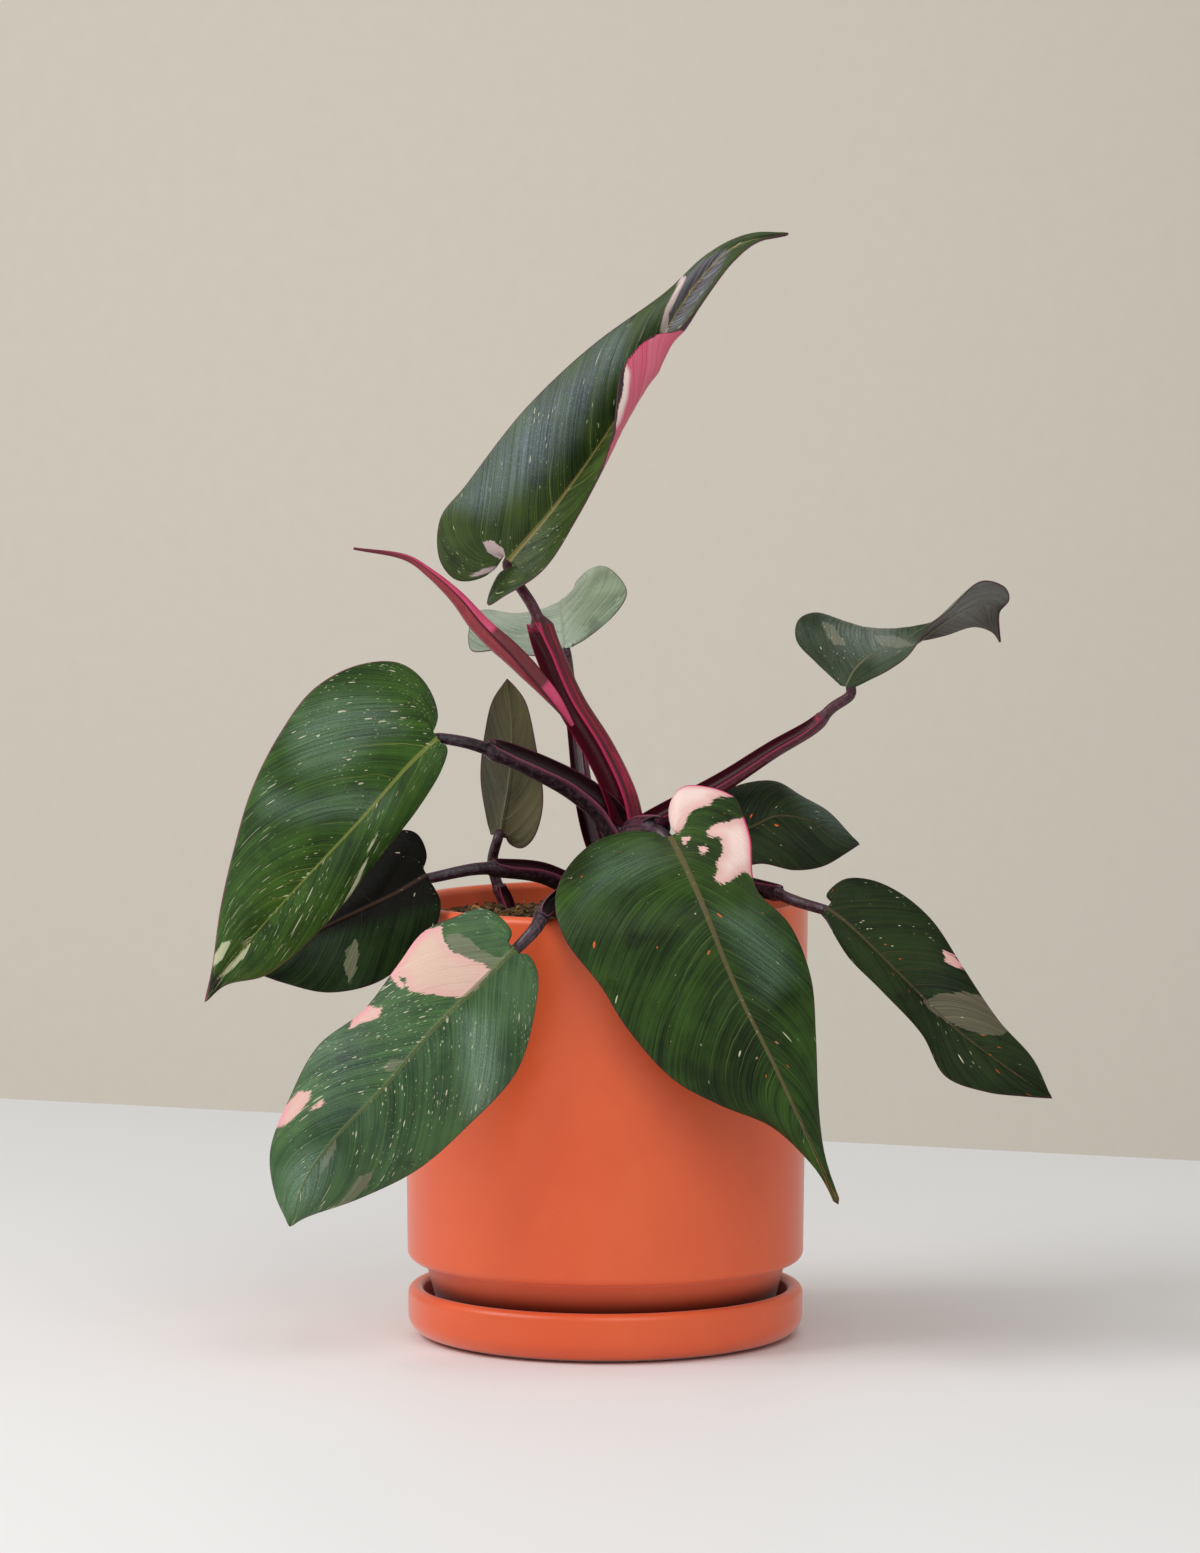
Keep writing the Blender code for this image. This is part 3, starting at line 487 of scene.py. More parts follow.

# Colours as 8-bit sRGB numbers: two shades of green, the midrib, the underside and the painted sheen,
# a pale grey reflection of the light painted into the colour. flecks is how many pale flecks there
# are, rib the half width of the midrib, keel how far it stands out underneath, sweep how far the side
# veins run forward, as a share of the edge, sheen how strong the painted sheen is over the whole
# blade, gloss the strength of the reflections and veining how plain the side veins are.
# Some leaves also have a colour of their own for vein, the side veins, for the patches cream and pale,
# for heart, the middle of the pink, and for margin, the rim. rusty is how many rusty dots there are,
# and hot_margin a deep pink line where the pink meets the rim.
LOOKS = {
    "leaf_top": {"dark": (22, 38, 10), "light": (70, 92, 34), "rib_colour": (142, 128, 70),
                 "under": (62, 42, 52), "sheen_colour": (128, 142, 156), "flecks": 0.25, "rib": 1.7,
                 "keel": 2.6, "sweep": 0.2, "sheen": 0.12, "gloss": 0.35, "veining": 0.9,
                 "cream": (206, 184, 182), "vein": (118, 128, 62)},
    # leaf_back_top is pale partly in its own colour and partly as painted sheen, the light that it
    # reflects.
    "leaf_back_top": {"dark": (70, 96, 66), "light": (150, 166, 136), "rib_colour": (140, 156, 126),
                      "under": (84, 94, 78), "sheen_colour": (186, 194, 184), "flecks": 0.1, "rib": 0.7,
                      "keel": 1.0, "sweep": 0.42, "sheen": 1.0, "gloss": 0.5, "veining": 0.3},
    "leaf_right_far": {"dark": (22, 38, 20), "light": (62, 80, 52), "rib_colour": (120, 112, 84),
                       "under": (92, 86, 80), "sheen_colour": (146, 156, 150), "flecks": 0.1, "rib": 1.0,
                       "keel": 1.2, "sweep": 0.26, "sheen": 0.3, "gloss": 0.25, "veining": 0.4},
    "leaf_left_big": {"dark": (18, 44, 10), "light": (70, 108, 34), "rib_colour": (138, 146, 70),
                      "under": (70, 74, 52), "sheen_colour": (120, 144, 128), "flecks": 0.55, "rib": 1.4,
                      "keel": 2.4, "sweep": 0.33, "sheen": 0.15, "gloss": 0.22, "veining": 0.7,
                      "cream": (196, 200, 162), "margin": MARGIN_PINK},
    # leaf_left_behind is dark partly in its own colour and partly as painted shade, for the shadow of the
    # leaves above it.
    "leaf_left_behind": {"dark": (8, 14, 4), "light": (36, 56, 22), "rib_colour": (66, 46, 36),
                         "under": (40, 38, 30), "sheen_colour": (104, 122, 116), "flecks": 0.03, "rib": 1.1,
                         "keel": 1.6, "sweep": 0.24, "sheen": 0.3, "gloss": 0.05, "veining": 0.3},
    "leaf_front_left": {"dark": (18, 50, 24), "light": (72, 110, 56), "rib_colour": (94, 108, 60),
                        "under": (74, 74, 56), "sheen_colour": (150, 178, 160), "flecks": 0.6, "rib": 1.6,
                        "keel": 2.4, "sweep": 0.26, "sheen": 0.5, "gloss": 0.35, "veining": 0.4},
    "leaf_front_centre": {"dark": (12, 24, 6), "light": (56, 86, 28), "rib_colour": (104, 92, 62),
                          "under": (66, 60, 48), "sheen_colour": (100, 126, 108), "flecks": 0.05, "rib": 1.7,
                          "keel": 2.6, "sweep": 0.16, "sheen": 0.08, "gloss": 0.15, "veining": 0.6,
                          "vein": (78, 104, 46), "rusty": 0.03, "hot_margin": True,
                          "heart": WHITE_PINK},
    "leaf_back_small": {"dark": (40, 46, 24), "light": (66, 72, 36), "rib_colour": (96, 94, 70),
                        "under": (86, 80, 42), "sheen_colour": (116, 120, 118), "flecks": 0.05, "rib": 0.8,
                        "keel": 0.5, "sweep": 0.3, "sheen": 0.3, "gloss": 0.2, "veining": 0.3},
    "leaf_right_mid": {"dark": (12, 20, 6), "light": (44, 58, 26), "rib_colour": (76, 68, 42),
                       "under": (44, 42, 32), "sheen_colour": (122, 140, 134), "flecks": 0.08, "rib": 1.1,
                       "keel": 1.8, "sweep": 0.24, "sheen": 0.15, "gloss": 0.12, "veining": 0.4,
                       "rusty": 0.03},
    "leaf_right_low": {"dark": (10, 20, 4), "light": (38, 54, 20), "rib_colour": (82, 68, 46),
                       "under": (48, 44, 34), "sheen_colour": (112, 126, 116), "flecks": 0.1, "rib": 1.2,
                       "keel": 1.8, "sweep": 0.2, "sheen": 0.1, "gloss": 0.12, "veining": 0.4,
                       "rusty": 0.03, "pale": (98, 94, 74)},
}

# The stem, from the soil up, and each stalk: its route from inside the stem to its leaf, its radius
# at the base, at the end of its sheath and beyond it, the share of its length that the sheath takes
# up, the way that the sheath opens, and how crimson it is.
MAIN_STEM_ROUTE = [(0, 0, 146), (0, 0, 160), (0, 0, 173), (3, 0, 187), (7, 0, 199), (10, 0, 208)]
STALKS = {
    "leaf_top": {"route": [(10, 0, 205), (7, -1, 220), (-2, -3, 240), (-14, -6, 260),
                           (-23, -8, 281), (-29, -8, 298)],
                 "radii": (6.6, 5.3, 2.3), "sheath_end": 0.74,
                 "opens": (-0.8, -0.75, 0.2), "crimson": 1.0},
    "leaf_back_top": {"route": [(3, 3, 188), (-4, 8, 202), (-9, 16, 222), (-12, 26, 244),
                                (-15, 36, 268)],
                      "radii": (5.0, 3.0, 2.2), "sheath_end": 0.8,
                      "opens": (-0.3, -1.0, 0.2), "crimson": 0.3},
    "leaf_right_far": {"route": [(9, 0, 204), (20, 2, 211), (35, 6, 219), (50, 12, 227),
                                 (69, 16, 239), (86, 18, 249), (93, 18, 256)],
                       "radii": (4.8, 3.1, 2.3), "sheath_end": 0.82,
                       "opens": (-0.3, -0.7, 0.75), "crimson": 0.6},
    "leaf_left_big": {"route": [(8, 0, 204), (-1, -1, 216), (-12, -4, 225), (-24, -9, 232),
                                (-39, -14, 239), (-48, -18, 242), (-57, -23, 245)],
                      "radii": (6.8, 4.4, 2.6), "sheath_end": 0.7,
                      "opens": (0.15, -0.6, 0.8), "crimson": 0.05},
    "leaf_left_behind": {"route": [(1, 0, 177), (-12, -6, 184), (-25, -16, 191), (-39, -28, 194),
                                   (-53, -40, 195)],
                         "radii": (5.2, 3.7, 2.6), "sheath_end": 0.66,
                         "opens": (0.1, -0.5, 0.85), "crimson": 0.1},
    "leaf_front_left": {"route": [(2, 0, 180), (-8, -34, 185), (-16, -62, 187), (-24, -81, 182),
                                  (-28, -92, 176)],
                        "radii": (4.6, 3.4, 2.8), "sheath_end": 0.8,
                        "opens": (0.6, -0.6, 0.8), "crimson": 0.0},
    "leaf_front_centre": {"route": [(10, 0, 203), (13, -11, 207), (18, -23, 209), (22, -33, 209)],
                          "radii": (6.4, 6.0, 3.0), "sheath_end": 0.6,
                          "opens": (0.35, 0.6, 0.7), "crimson": 0.05},
    "leaf_right_mid": {"route": [(4, 0, 187), (20, 2, 193), (33, 0, 198)],
                       "radii": (4.0, 3.2, 2.3), "sheath_end": 0.6,
                       "opens": (0.0, -0.2, 1.0), "crimson": 0.2},
    "leaf_right_low": {"route": [(3, 0, 181), (30, -16, 187), (50, -32, 189), (66, -48, 187),
                                 (76, -60, 184)],
                       "radii": (4.4, 3.6, 2.3), "sheath_end": 0.74,
                       "opens": (0.1, -0.1, 1.0), "crimson": 0.2},
}
SIDE_STALK = {"route": [(-41, 44, 147), (-41, 44, 160), (-41, 44, 172), (-45, 44, 181),
                        (-47, 44, 190)],
              "radii": (3.4, 3.0, 2.3), "sheath_end": 0.55,
              "opens": (0.8, -0.8, 0.2), "crimson": 0.3}

# The new leaf is rolled into a spindle: centre points from its base to its tip, and radii.
ROLLED_LEAF_ROUTE = [(-13.5, -9.4, 251), (-20, -14, 261), (-27.5, -17, 270), (-37, -20, 280),
                     (-50, -22, 292), (-60, -25, 304), (-71, -28, 314), (-80, -31, 320),
                     (-101, -38, 324)]
ROLLED_LEAF_RADII = (0.9, 2.8, 4.0, 4.4, 3.8, 2.6, 1.6, 1.0, 0.5)
ROLL_STEPS = 120
ROLL_SIDES = 48
ROLL_INNER_WRAP = 0.92
ROLL_LAP = 0.22
ROLL_FRONT = (0.2, -1.0, 0.1)
ROLL_SEAM_SHARES = (0.0, 0.2, 0.45, 1.0)
ROLL_SEAM_ANGLES = (-70.0, -30.0, 0.0, 20.0)


def linear(colour):
    """A linear colour from 8-bit sRGB numbers."""
    shares = [c / 255.0 for c in colour]
    return tuple(s / 12.92 if s <= 0.04045 else ((s + 0.055) / 1.055) ** 2.4 for s in shares) + (1.0,)


def dimmed(colour, share):
    """A colour at a share of its brightness."""
    return tuple(c * share for c in colour)


class Shader:
    """A node material, built a step at a time. Each method returns the socket that it makes."""

    # The numbers of a mixing step's sockets for two colours and for their mixture
    COLOUR_INPUTS = (6, 7)
    COLOUR_OUTPUT = 2

    def __init__(self, name, roughness=0.5, specular=0.5):
        self.material = bpy.data.materials.new(name)
        self.material.use_nodes = True
        self.tree = self.material.node_tree
        self.surface = self.tree.nodes["Principled BSDF"]
        self.surface.inputs["Roughness"].default_value = roughness
        self.surface.inputs["Specular IOR Level"].default_value = specular

    def node(self, kind, *inputs, **settings):
        made = self.tree.nodes.new(kind)
        for key, value in settings.items():
            setattr(made, key, value)
        for socket, value in zip(made.inputs, inputs):
            self.put(value, socket)
        return made

    def put(self, value, socket):
        if isinstance(value, bpy.types.NodeSocket):
            self.tree.links.new(value, socket)
        elif value is not None:
            socket.default_value = value

    def attribute(self, name):
        return self.node("ShaderNodeAttribute", attribute_name=name).outputs["Fac"]

    def place(self):
        return self.node("ShaderNodeTexCoord").outputs["Object"]

    def math(self, operation, *values):
        return self.node("ShaderNodeMath", *values, operation=operation).outputs[0]

    def times(self, first, second):
        return self.math("MULTIPLY", first, second)

    def plus(self, first, second):
        return self.math("ADD", first, second)

    def vector(self, x, y, z):
        return self.node("ShaderNodeCombineXYZ", x, y, z).outputs[0]

    def noise(self, at, scale, detail=3.0, roughness=0.55):
        made = self.node("ShaderNodeTexNoise")
        self.put(at, made.inputs["Vector"])
        made.inputs["Scale"].default_value = scale
        made.inputs["Detail"].default_value = detail
        made.inputs["Roughness"].default_value = roughness
        return made.outputs["Fac"]

    def rise(self, value, low, high):
        """0 below low and 1 above high, with a soft step between."""
        made = self.node("ShaderNodeMapRange", value, low, high, 0.0, 1.0,
                         interpolation_type="SMOOTHSTEP")
        return made.outputs[0]

    def fall(self, value, low, high):
        """1 below low and 0 above high, with a soft step between."""
        return self.math("SUBTRACT", 1.0, self.rise(value, low, high))

    def mix(self, share, *colours):
        """The first colour at share 0, the second at 1, each 8-bit sRGB numbers or a socket."""
        made = self.node("ShaderNodeMix", data_type="RGBA")
        self.put(share, made.inputs["Factor"])
        for value, socket in zip(colours, self.COLOUR_INPUTS):
            self.put(linear(value) if isinstance(value, tuple) else value, made.inputs[socket])
        return made.outputs[self.COLOUR_OUTPUT]

    def colour(self, value):
        self.put(value, self.surface.inputs["Base Color"])

    def roughness(self, value):
        self.put(value, self.surface.inputs["Roughness"])

    def bump(self, height, distance, strength=1.0):
        made = self.node("ShaderNodeBump")
        made.inputs["Strength"].default_value = strength
        made.inputs["Distance"].default_value = distance * MM
        self.put(height, made.inputs["Height"])
        self.put(made.outputs[0], self.surface.inputs["Normal"])


def ceramic_material(name, gloss_roughness, foot_top=0.0):
    """Matt orange glaze: nearly even, with faint clouds, pin-sized specks and a fine orange peel.
    Down the foot, below a height in millimetres, painted shade darkens it towards the bottom."""
    shader = Shader(name, gloss_roughness)
    shader.surface.inputs["Sheen Weight"].default_value = 0.4
    shader.surface.inputs["Sheen Roughness"].default_value = 0.35
    place = shader.place()
    clouds = shader.noise(place, 14.0, 4.0)
    base = shader.mix(shader.rise(clouds, 0.35, 0.65), GLAZE, GLAZE_CLOUD)
    specks = shader.rise(shader.noise(place, 900.0, 2.0), 0.70, 0.78)
    glaze = shader.mix(shader.times(specks, 0.35), base, GLAZE_SPECK)
    # Painted shade: below the pot's lower edge the foot darkens towards the bottom, for the shadow in the
    # gap above the saucer.
    height = shader.node("ShaderNodeSeparateXYZ", place).outputs[2]
    foot_shadow = shader.fall(height, (foot_top - FOOT_SHADOW_HEIGHT) * MM, foot_top * MM)
    shader.colour(shader.mix(foot_shadow, glaze, FOOT_SHADOW_COLOUR))
    fine = shader.noise(place, 420.0, 3.0)
    shader.roughness(shader.plus(shader.times(clouds, 0.08), gloss_roughness - 0.04))
    shader.bump(fine, 0.05, 0.5)
    return shader.material


def soil_material():
    """Bark and coir: each chip has its own brown."""
    shader = Shader("soil_chips", 0.9, 0.3)
    chip = shader.attribute("chip")
    place = shader.place()
    grain = shader.noise(place, 700.0, 4.0)
    base = shader.mix(shader.rise(chip, 0.0, 0.6), SOIL_DARK, BARK_BROWN)
    base = shader.mix(shader.rise(chip, 0.72, 0.95), base, BARK_PALE)
    shader.colour(shader.mix(shader.times(grain, 0.6), base, SOIL_GRAIN))
    shader.bump(grain, 0.4, 0.8)
    return shader.material


def along_veins(shader, across_scale, along_scale, seed, detail=3.0, roughness=0.55):
    """Noise drawn out along the side veins."""
    vein = shader.attribute("vein_mm")
    out = shader.attribute("out_mm")
    at = shader.vector(shader.times(vein, across_scale), shader.times(out, along_scale), seed)
    return shader.noise(at, 1.0, detail, roughness)


def side_veins(shader, seed):
    """How near a point is to a side vein, from 0 to 1. Few are strong, and all fade outwards."""
    vein = shader.attribute("vein_mm")
    out = shader.attribute("out_mm")
    sway = shader.noise(shader.vector(shader.times(vein, 0.03), shader.times(out, 0.03), seed), 1.0)
    shifted = shader.plus(vein, shader.times(sway, 16.0))
    line = shader.math("PINGPONG", shifted, VEIN_SPACING / 2.0)
    number = shader.math("FLOOR", shader.plus(shader.math("DIVIDE", shifted, VEIN_SPACING), 0.5))
    strength = shader.noise(shader.vector(shader.times(number, 3.7), seed, 0.0), 1.0, 0.0)
    near = shader.times(shader.fall(line, 0.1, 0.45), shader.rise(strength, 0.36, 0.58))
    return shader.times(near, shader.fall(shader.attribute("across"), 0.2, 0.85))


def patch(shader, attribute, roughness_mm, seed):
    """Inside a patch: 1, outside: 0, with an edge that steps along the veins."""
    coarse = along_veins(shader, 0.9, 0.24, seed, 4.0, 0.7)
    shift = shader.times(shader.math("SUBTRACT", coarse, 0.5), roughness_mm)
    return shader.rise(shader.plus(shader.attribute(attribute), shift), -0.1, 0.1)


def fleck_layer(shader, across_scale, along_scale, share, seed):
    """Flecks of many sizes, longer along the veins, in some of the cells of an uneven grid."""
    at = shader.vector(shader.plus(shader.times(shader.attribute("vein_mm"), across_scale), seed),
                       shader.times(shader.attribute("out_mm"), along_scale), 0.0)
    cells = shader.node("ShaderNodeTexVoronoi", voronoi_dimensions="2D")
    shader.put(at, cells.inputs["Vector"])
    cells.inputs["Scale"].default_value = 1.0
    drawn = shader.node("ShaderNodeSeparateColor", cells.outputs["Color"])
    size = shader.plus(shader.times(shader.math("POWER", drawn.outputs[0], 4.0), 0.2), 0.07)
    spot = shader.fall(shader.math("SUBTRACT", cells.outputs["Distance"], size), -0.04, 0.03)
    return shader.times(spot, shader.math("LESS_THAN", drawn.outputs[1], share))


def flecks(shader, amount, seed):
    """Small pale flecks, gathered in some places."""
    where = shader.noise(shader.place(), 30.0, 3.0)
    share = shader.times(shader.rise(where, 0.38, 0.62), amount)
    few = fleck_layer(shader, 0.36, 0.2, shader.times(share, 0.5), seed)
    many = fleck_layer(shader, 0.75, 0.5, shader.times(share, 0.7), seed + 1.0)
    return shader.math("MAXIMUM", few, many)


def painted_sheen(shader, look, streaks, seed):
    """Painted sheen, a reflection of the light: streaks and grains, strongest in the sheen patches."""
    clouds = shader.rise(shader.noise(shader.place(), 26.0, 3.0), 0.42, 0.72)
    here = shader.rise(shader.attribute("sheen"), -7.0, 8.0)
    satin = shader.plus(shader.times(clouds, 0.4 * look["sheen"]), shader.times(here, 0.74))
    grains = shader.rise(shader.noise(shader.place(), 1500.0, 1.0), 0.5, 0.75)
    fine = along_veins(shader, 2.2, 0.1, seed + 4.0, 3.0, 0.6)
    broken = shader.plus(shader.plus(shader.times(shader.rise(streaks, 0.35, 0.7), 0.45),
                                     shader.times(shader.rise(fine, 0.4, 0.65), 0.35)),
                         shader.plus(shader.times(grains, 0.4), 0.12))
    return shader.times(satin, broken)


def leaf_top_material(name, look, seed):
    """Green satin leaf: side veins, pale flecks along them, coloured patches and a purple margin, with
    painted sheen and painted shade.
    """
    shader = Shader("top_of_" + name, 0.38, look["gloss"])
    place = shader.place()
    veins = side_veins(shader, seed)
    bands = along_veins(shader, 0.2, 0.012, seed, 3.0)
    streaks = along_veins(shader, 1.1, 0.035, seed + 2.0, 5.0, 0.7)
    lines = along_veins(shader, 2.2, 0.05, seed + 12.0, 3.0, 0.6)
    clouds = shader.noise(place, 34.0, 4.0)
    tone = shader.plus(shader.plus(shader.times(clouds, 0.35), shader.times(bands, 0.2)),
                       shader.plus(shader.times(streaks, 0.3), shader.times(lines, 0.25)))
    green = shader.mix(shader.rise(tone, 0.42, 0.68), look["dark"], look["light"])
    dusk = shader.rise(shader.noise(place, 55.0, 4.0), 0.60, 0.72)
    green = shader.mix(shader.times(dusk, 0.5), green, dimmed(look["dark"], 0.6))
    marbled = shader.mix(shader.rise(streaks, 0.4, 0.6), look.get("pale", PALE_GREEN), PALE_BEIGE)
    mottled = shader.plus(shader.times(shader.rise(lines, 0.35, 0.6), 0.35), 0.55)
    pale = shader.times(patch(shader, "pale", 4.0, seed + 3.0), mottled)
    green = shader.mix(pale, green, marbled)
    # Painted sheen: a pale grey reflection of the light, mixed into the colour.
    green = shader.mix(painted_sheen(shader, look, streaks, seed), green, look["sheen_colour"])
    # Painted shadow: nearly black where a leaf above shades the blade, and at a curled tip.
    green = shader.mix(shader.rise(shader.attribute("painted_shadow"), -3.0, 5.0), green, SHADOW_BLACK)
    vein_colour = look.get("vein", look["rib_colour"])
    green = shader.mix(shader.times(veins, look["veining"]), green, vein_colour)
    # Partly painted shade, partly the blade's own dull purple: where the blade curls over near its tip.
    shade = shader.rise(shader.attribute("shade"), -0.8, 1.5)
    dull = shader.mix(shader.rise(streaks, 0.45, 0.7), PURPLE_SHADE, SILVER)
    green = shader.mix(shade, green, dull)
    specks = flecks(shader, look["flecks"], seed + 7.0)
    green = shader.mix(shader.times(specks, 0.8), green, FLECK)
    rusty = fleck_layer(shader, 0.24, 0.22, look.get("rusty", 0.0), seed + 9.0)
    green = shader.mix(rusty, green, RUSTY_DOT)
    edge = shader.attribute("edge_mm")
    inside = shader.rise(shader.attribute("pink"), 0.0, 6.0)
    rosy = shader.mix(shader.plus(shader.times(streaks, 0.3), shader.times(inside, 0.7)),
                      PINK, look.get("heart", PEACH))
    rosy = shader.mix(shader.times(shader.fall(edge, 0.5, 4.0), 0.7), rosy, BLUSH)
    if "hot_margin" in look:
        rosy = shader.mix(shader.fall(edge, 0.3, 1.2), rosy, HOT_PINK)
    pink = patch(shader, "pink", 5.0, seed + 5.0)
    surface = shader.mix(pink, green, rosy)
    surface = shader.mix(patch(shader, "cream", 3.0, seed + 6.0), surface, look.get("cream", CREAM))
    rib = shader.fall(shader.attribute("rib"), 0.6, 1.05)
    surface = shader.mix(shader.times(rib, 0.72), surface, look["rib_colour"])
    margin = shader.times(shader.fall(edge, 0.1, 0.6), shader.math("SUBTRACT", 1.0, pink))
    shader.colour(shader.mix(shader.times(margin, 0.8), surface, look.get("margin", MARGIN)))
    shader.roughness(shader.plus(shader.times(clouds, 0.2), 0.27))
    fine = shader.plus(shader.times(streaks, 1.0), shader.times(shader.noise(place, 900.0), 0.3))
    shader.bump(shader.math("SUBTRACT", fine, shader.times(veins, 0.5)), 0.3, 0.8)
    return shader.material


def leaf_under_material(name, look, seed):
    """The duller underside, with raised veins, the same patches and painted sheen."""
    shader = Shader("under_of_" + name, 0.45, 0.3)
    place = shader.place()
    veins = side_veins(shader, seed)
    streaks = along_veins(shader, 1.2, 0.03, seed + 2.0, 4.0, 0.65)
    base = look["under"]
    dim = dimmed(look["under"], 0.65)
    tone = shader.plus(shader.times(shader.noise(place, 40.0, 4.0), 0.5), shader.times(streaks, 0.5))
    surface = shader.mix(shader.rise(tone, 0.35, 0.65), dim, base)
    # Painted sheen, as on the upper face.
    satin = painted_sheen(shader, look, streaks, seed)
    surface = shader.mix(shader.times(satin, 0.6), surface, look["sheen_colour"])
    surface = shader.mix(shader.times(veins, 0.3), surface, look["rib_colour"])
    pink = patch(shader, "pink", 3.0, seed + 5.0)
    rosy = shader.mix(shader.rise(streaks, 0.3, 0.7), UNDER_PINK, UNDER_BLUSH)
    rosy = shader.mix(shader.rise(shader.attribute("blush"), -1.0, 1.0), rosy, WHITE_PINK)
    surface = shader.mix(pink, surface, rosy)
    rib = shader.fall(shader.attribute("rib"), 0.8, 1.2)
    surface = shader.mix(shader.times(rib, 0.6), surface, look["rib_colour"])
    margin = shader.fall(shader.attribute("edge_mm"), 0.2, 0.7)
    deep = shader.mix(pink, MARGIN, HOT_PINK)
    shader.colour(shader.mix(shader.times(margin, 0.9), surface, deep))
    shader.bump(shader.plus(streaks, veins), 0.25, 0.6)
    return shader.material


def stalk_material():
    """Dark purple stalk: mottled and striped outside, a maroon channel and thin rosy sheath edges."""
    shader = Shader("stalk_skin", 0.4, 0.45)
    place = shader.place()
    crimson = shader.attribute("crimson")
    channel = shader.attribute("channel")
    edge = shader.attribute("sheath_edge")
    around = shader.vector(shader.times(shader.attribute("round_x"), 3.2),
                           shader.times(shader.attribute("round_y"), 3.2),
                           shader.times(shader.attribute("run_mm"), 0.02))
    stripes = shader.noise(around, 1.0, 4.0, 0.6)
    mottle = shader.noise(place, 520.0, 4.0, 0.7)
    skin = shader.mix(shader.rise(mottle, 0.42, 0.68), SKIN_DARK, SKIN_MOTTLE)
    skin = shader.mix(shader.times(shader.rise(stripes, 0.52, 0.62), 0.4), skin, SKIN_STRIPE)
    red = shader.mix(shader.rise(stripes, 0.38, 0.52), CRIMSON_DARK, CRIMSON)
    red = shader.mix(shader.rise(stripes, 0.58, 0.66), red, CRIMSON_STRIPE)
    skin = shader.mix(crimson, skin, red)
    inner = shader.mix(shader.rise(stripes, 0.4, 0.6), CHANNEL_DARK, CHANNEL_STRIPE)
    inner = shader.mix(crimson, inner, CHANNEL_CRIMSON)
    skin = shader.mix(channel, skin, inner)
    rosy = shader.mix(crimson, SHEATH_EDGE, SHEATH_EDGE_CRIMSON)
    shader.colour(shader.mix(shader.times(edge, 0.85), skin, rosy))
    shader.bump(shader.plus(mottle, stripes), 0.25, 0.6)
    return shader.material


def rolled_leaf_material():
    """The rolled new leaf: brownish red on one side of its dark seam, banded pink on the other."""
    shader = Shader("rolled_leaf_skin", 0.4, 0.5)
    place = shader.place()
    along = shader.attribute("along")
    grain = shader.noise(place, 300.0, 4.0)
    fine = shader.noise(place, 1400.0, 2.0)
    red = shader.mix(grain, ROLL_RED, ROLL_RED_GRAIN)
    red = shader.mix(shader.times(shader.rise(fine, 0.5, 0.7), 0.3), red, ROLL_BLOOM)
    pink = shader.mix(grain, ROLL_PINK, ROLL_PINK_GRAIN)
    dark = shader.mix(grain, ROLL_BAND, ROLL_BAND_GRAIN)
    banded = shader.mix(shader.rise(along, 0.17, 0.19), pink, dark)
    banded = shader.mix(shader.rise(along, 0.42, 0.44), banded, pink)
    skin = shader.mix(shader.attribute("flap"), red, banded)
    skin = shader.mix(shader.rise(along, 0.72, 0.95), skin, ROLL_TIP)
    shader.colour(shader.mix(shader.attribute("seam"), skin, ROLL_SEAM))
    shader.bump(grain, 0.25, 0.6)
    return shader.material


def table_material():
    """Smooth white board with faint clouds."""
    shader = Shader("table_top", 0.55, 0.3)
    clouds = shader.noise(shader.place(), 3.0, 3.0)
    shader.colour(shader.mix(clouds, TABLE_WHITE, TABLE_CLOUD))
    return shader.material


def wall_material():
    """Warm grey wall with a fine tooth."""
    shader = Shader("wall_paint", 0.9, 0.2)
    grain = shader.noise(shader.place(), 60.0, 5.0)
    shader.colour(shader.mix(grain, WALL_GREY, WALL_TOOTH))
    return shader.material


def placed(name, data):
    """A new object in the scene."""
    made = bpy.data.objects.new(name, data)
    bpy.context.scene.collection.objects.link(made)
    return made


def add_piece(name, points, faces, materials, face_material=None, values=None, smooth_angle=40.0):
    """A mesh object from points in millimetres, with named numbers at its points."""
    mesh = bpy.data.meshes.new(name)
    mesh.from_pydata((np.asarray(points, dtype=float) * MM).tolist(), [], faces)
    for made in materials:
        mesh.materials.append(made)
    if face_material is not None:
        mesh.polygons.foreach_set("material_index", face_material)
    for key, numbers in (values or {}).items():
        layer = mesh.attributes.new(key, "FLOAT", "POINT")
        layer.data.foreach_set("value", np.asarray(numbers, dtype=np.float32))
    mesh.shade_smooth()
    mesh.set_sharp_from_angle(angle=math.radians(smooth_angle))
    mesh.update()
    return placed(name, mesh)


def dress(piece, slot, *nodes):
    """Lets a piece stand for its solids: joins it to the root body and hides them. slot is not used."""
    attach(piece, "root")
    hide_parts(*nodes)


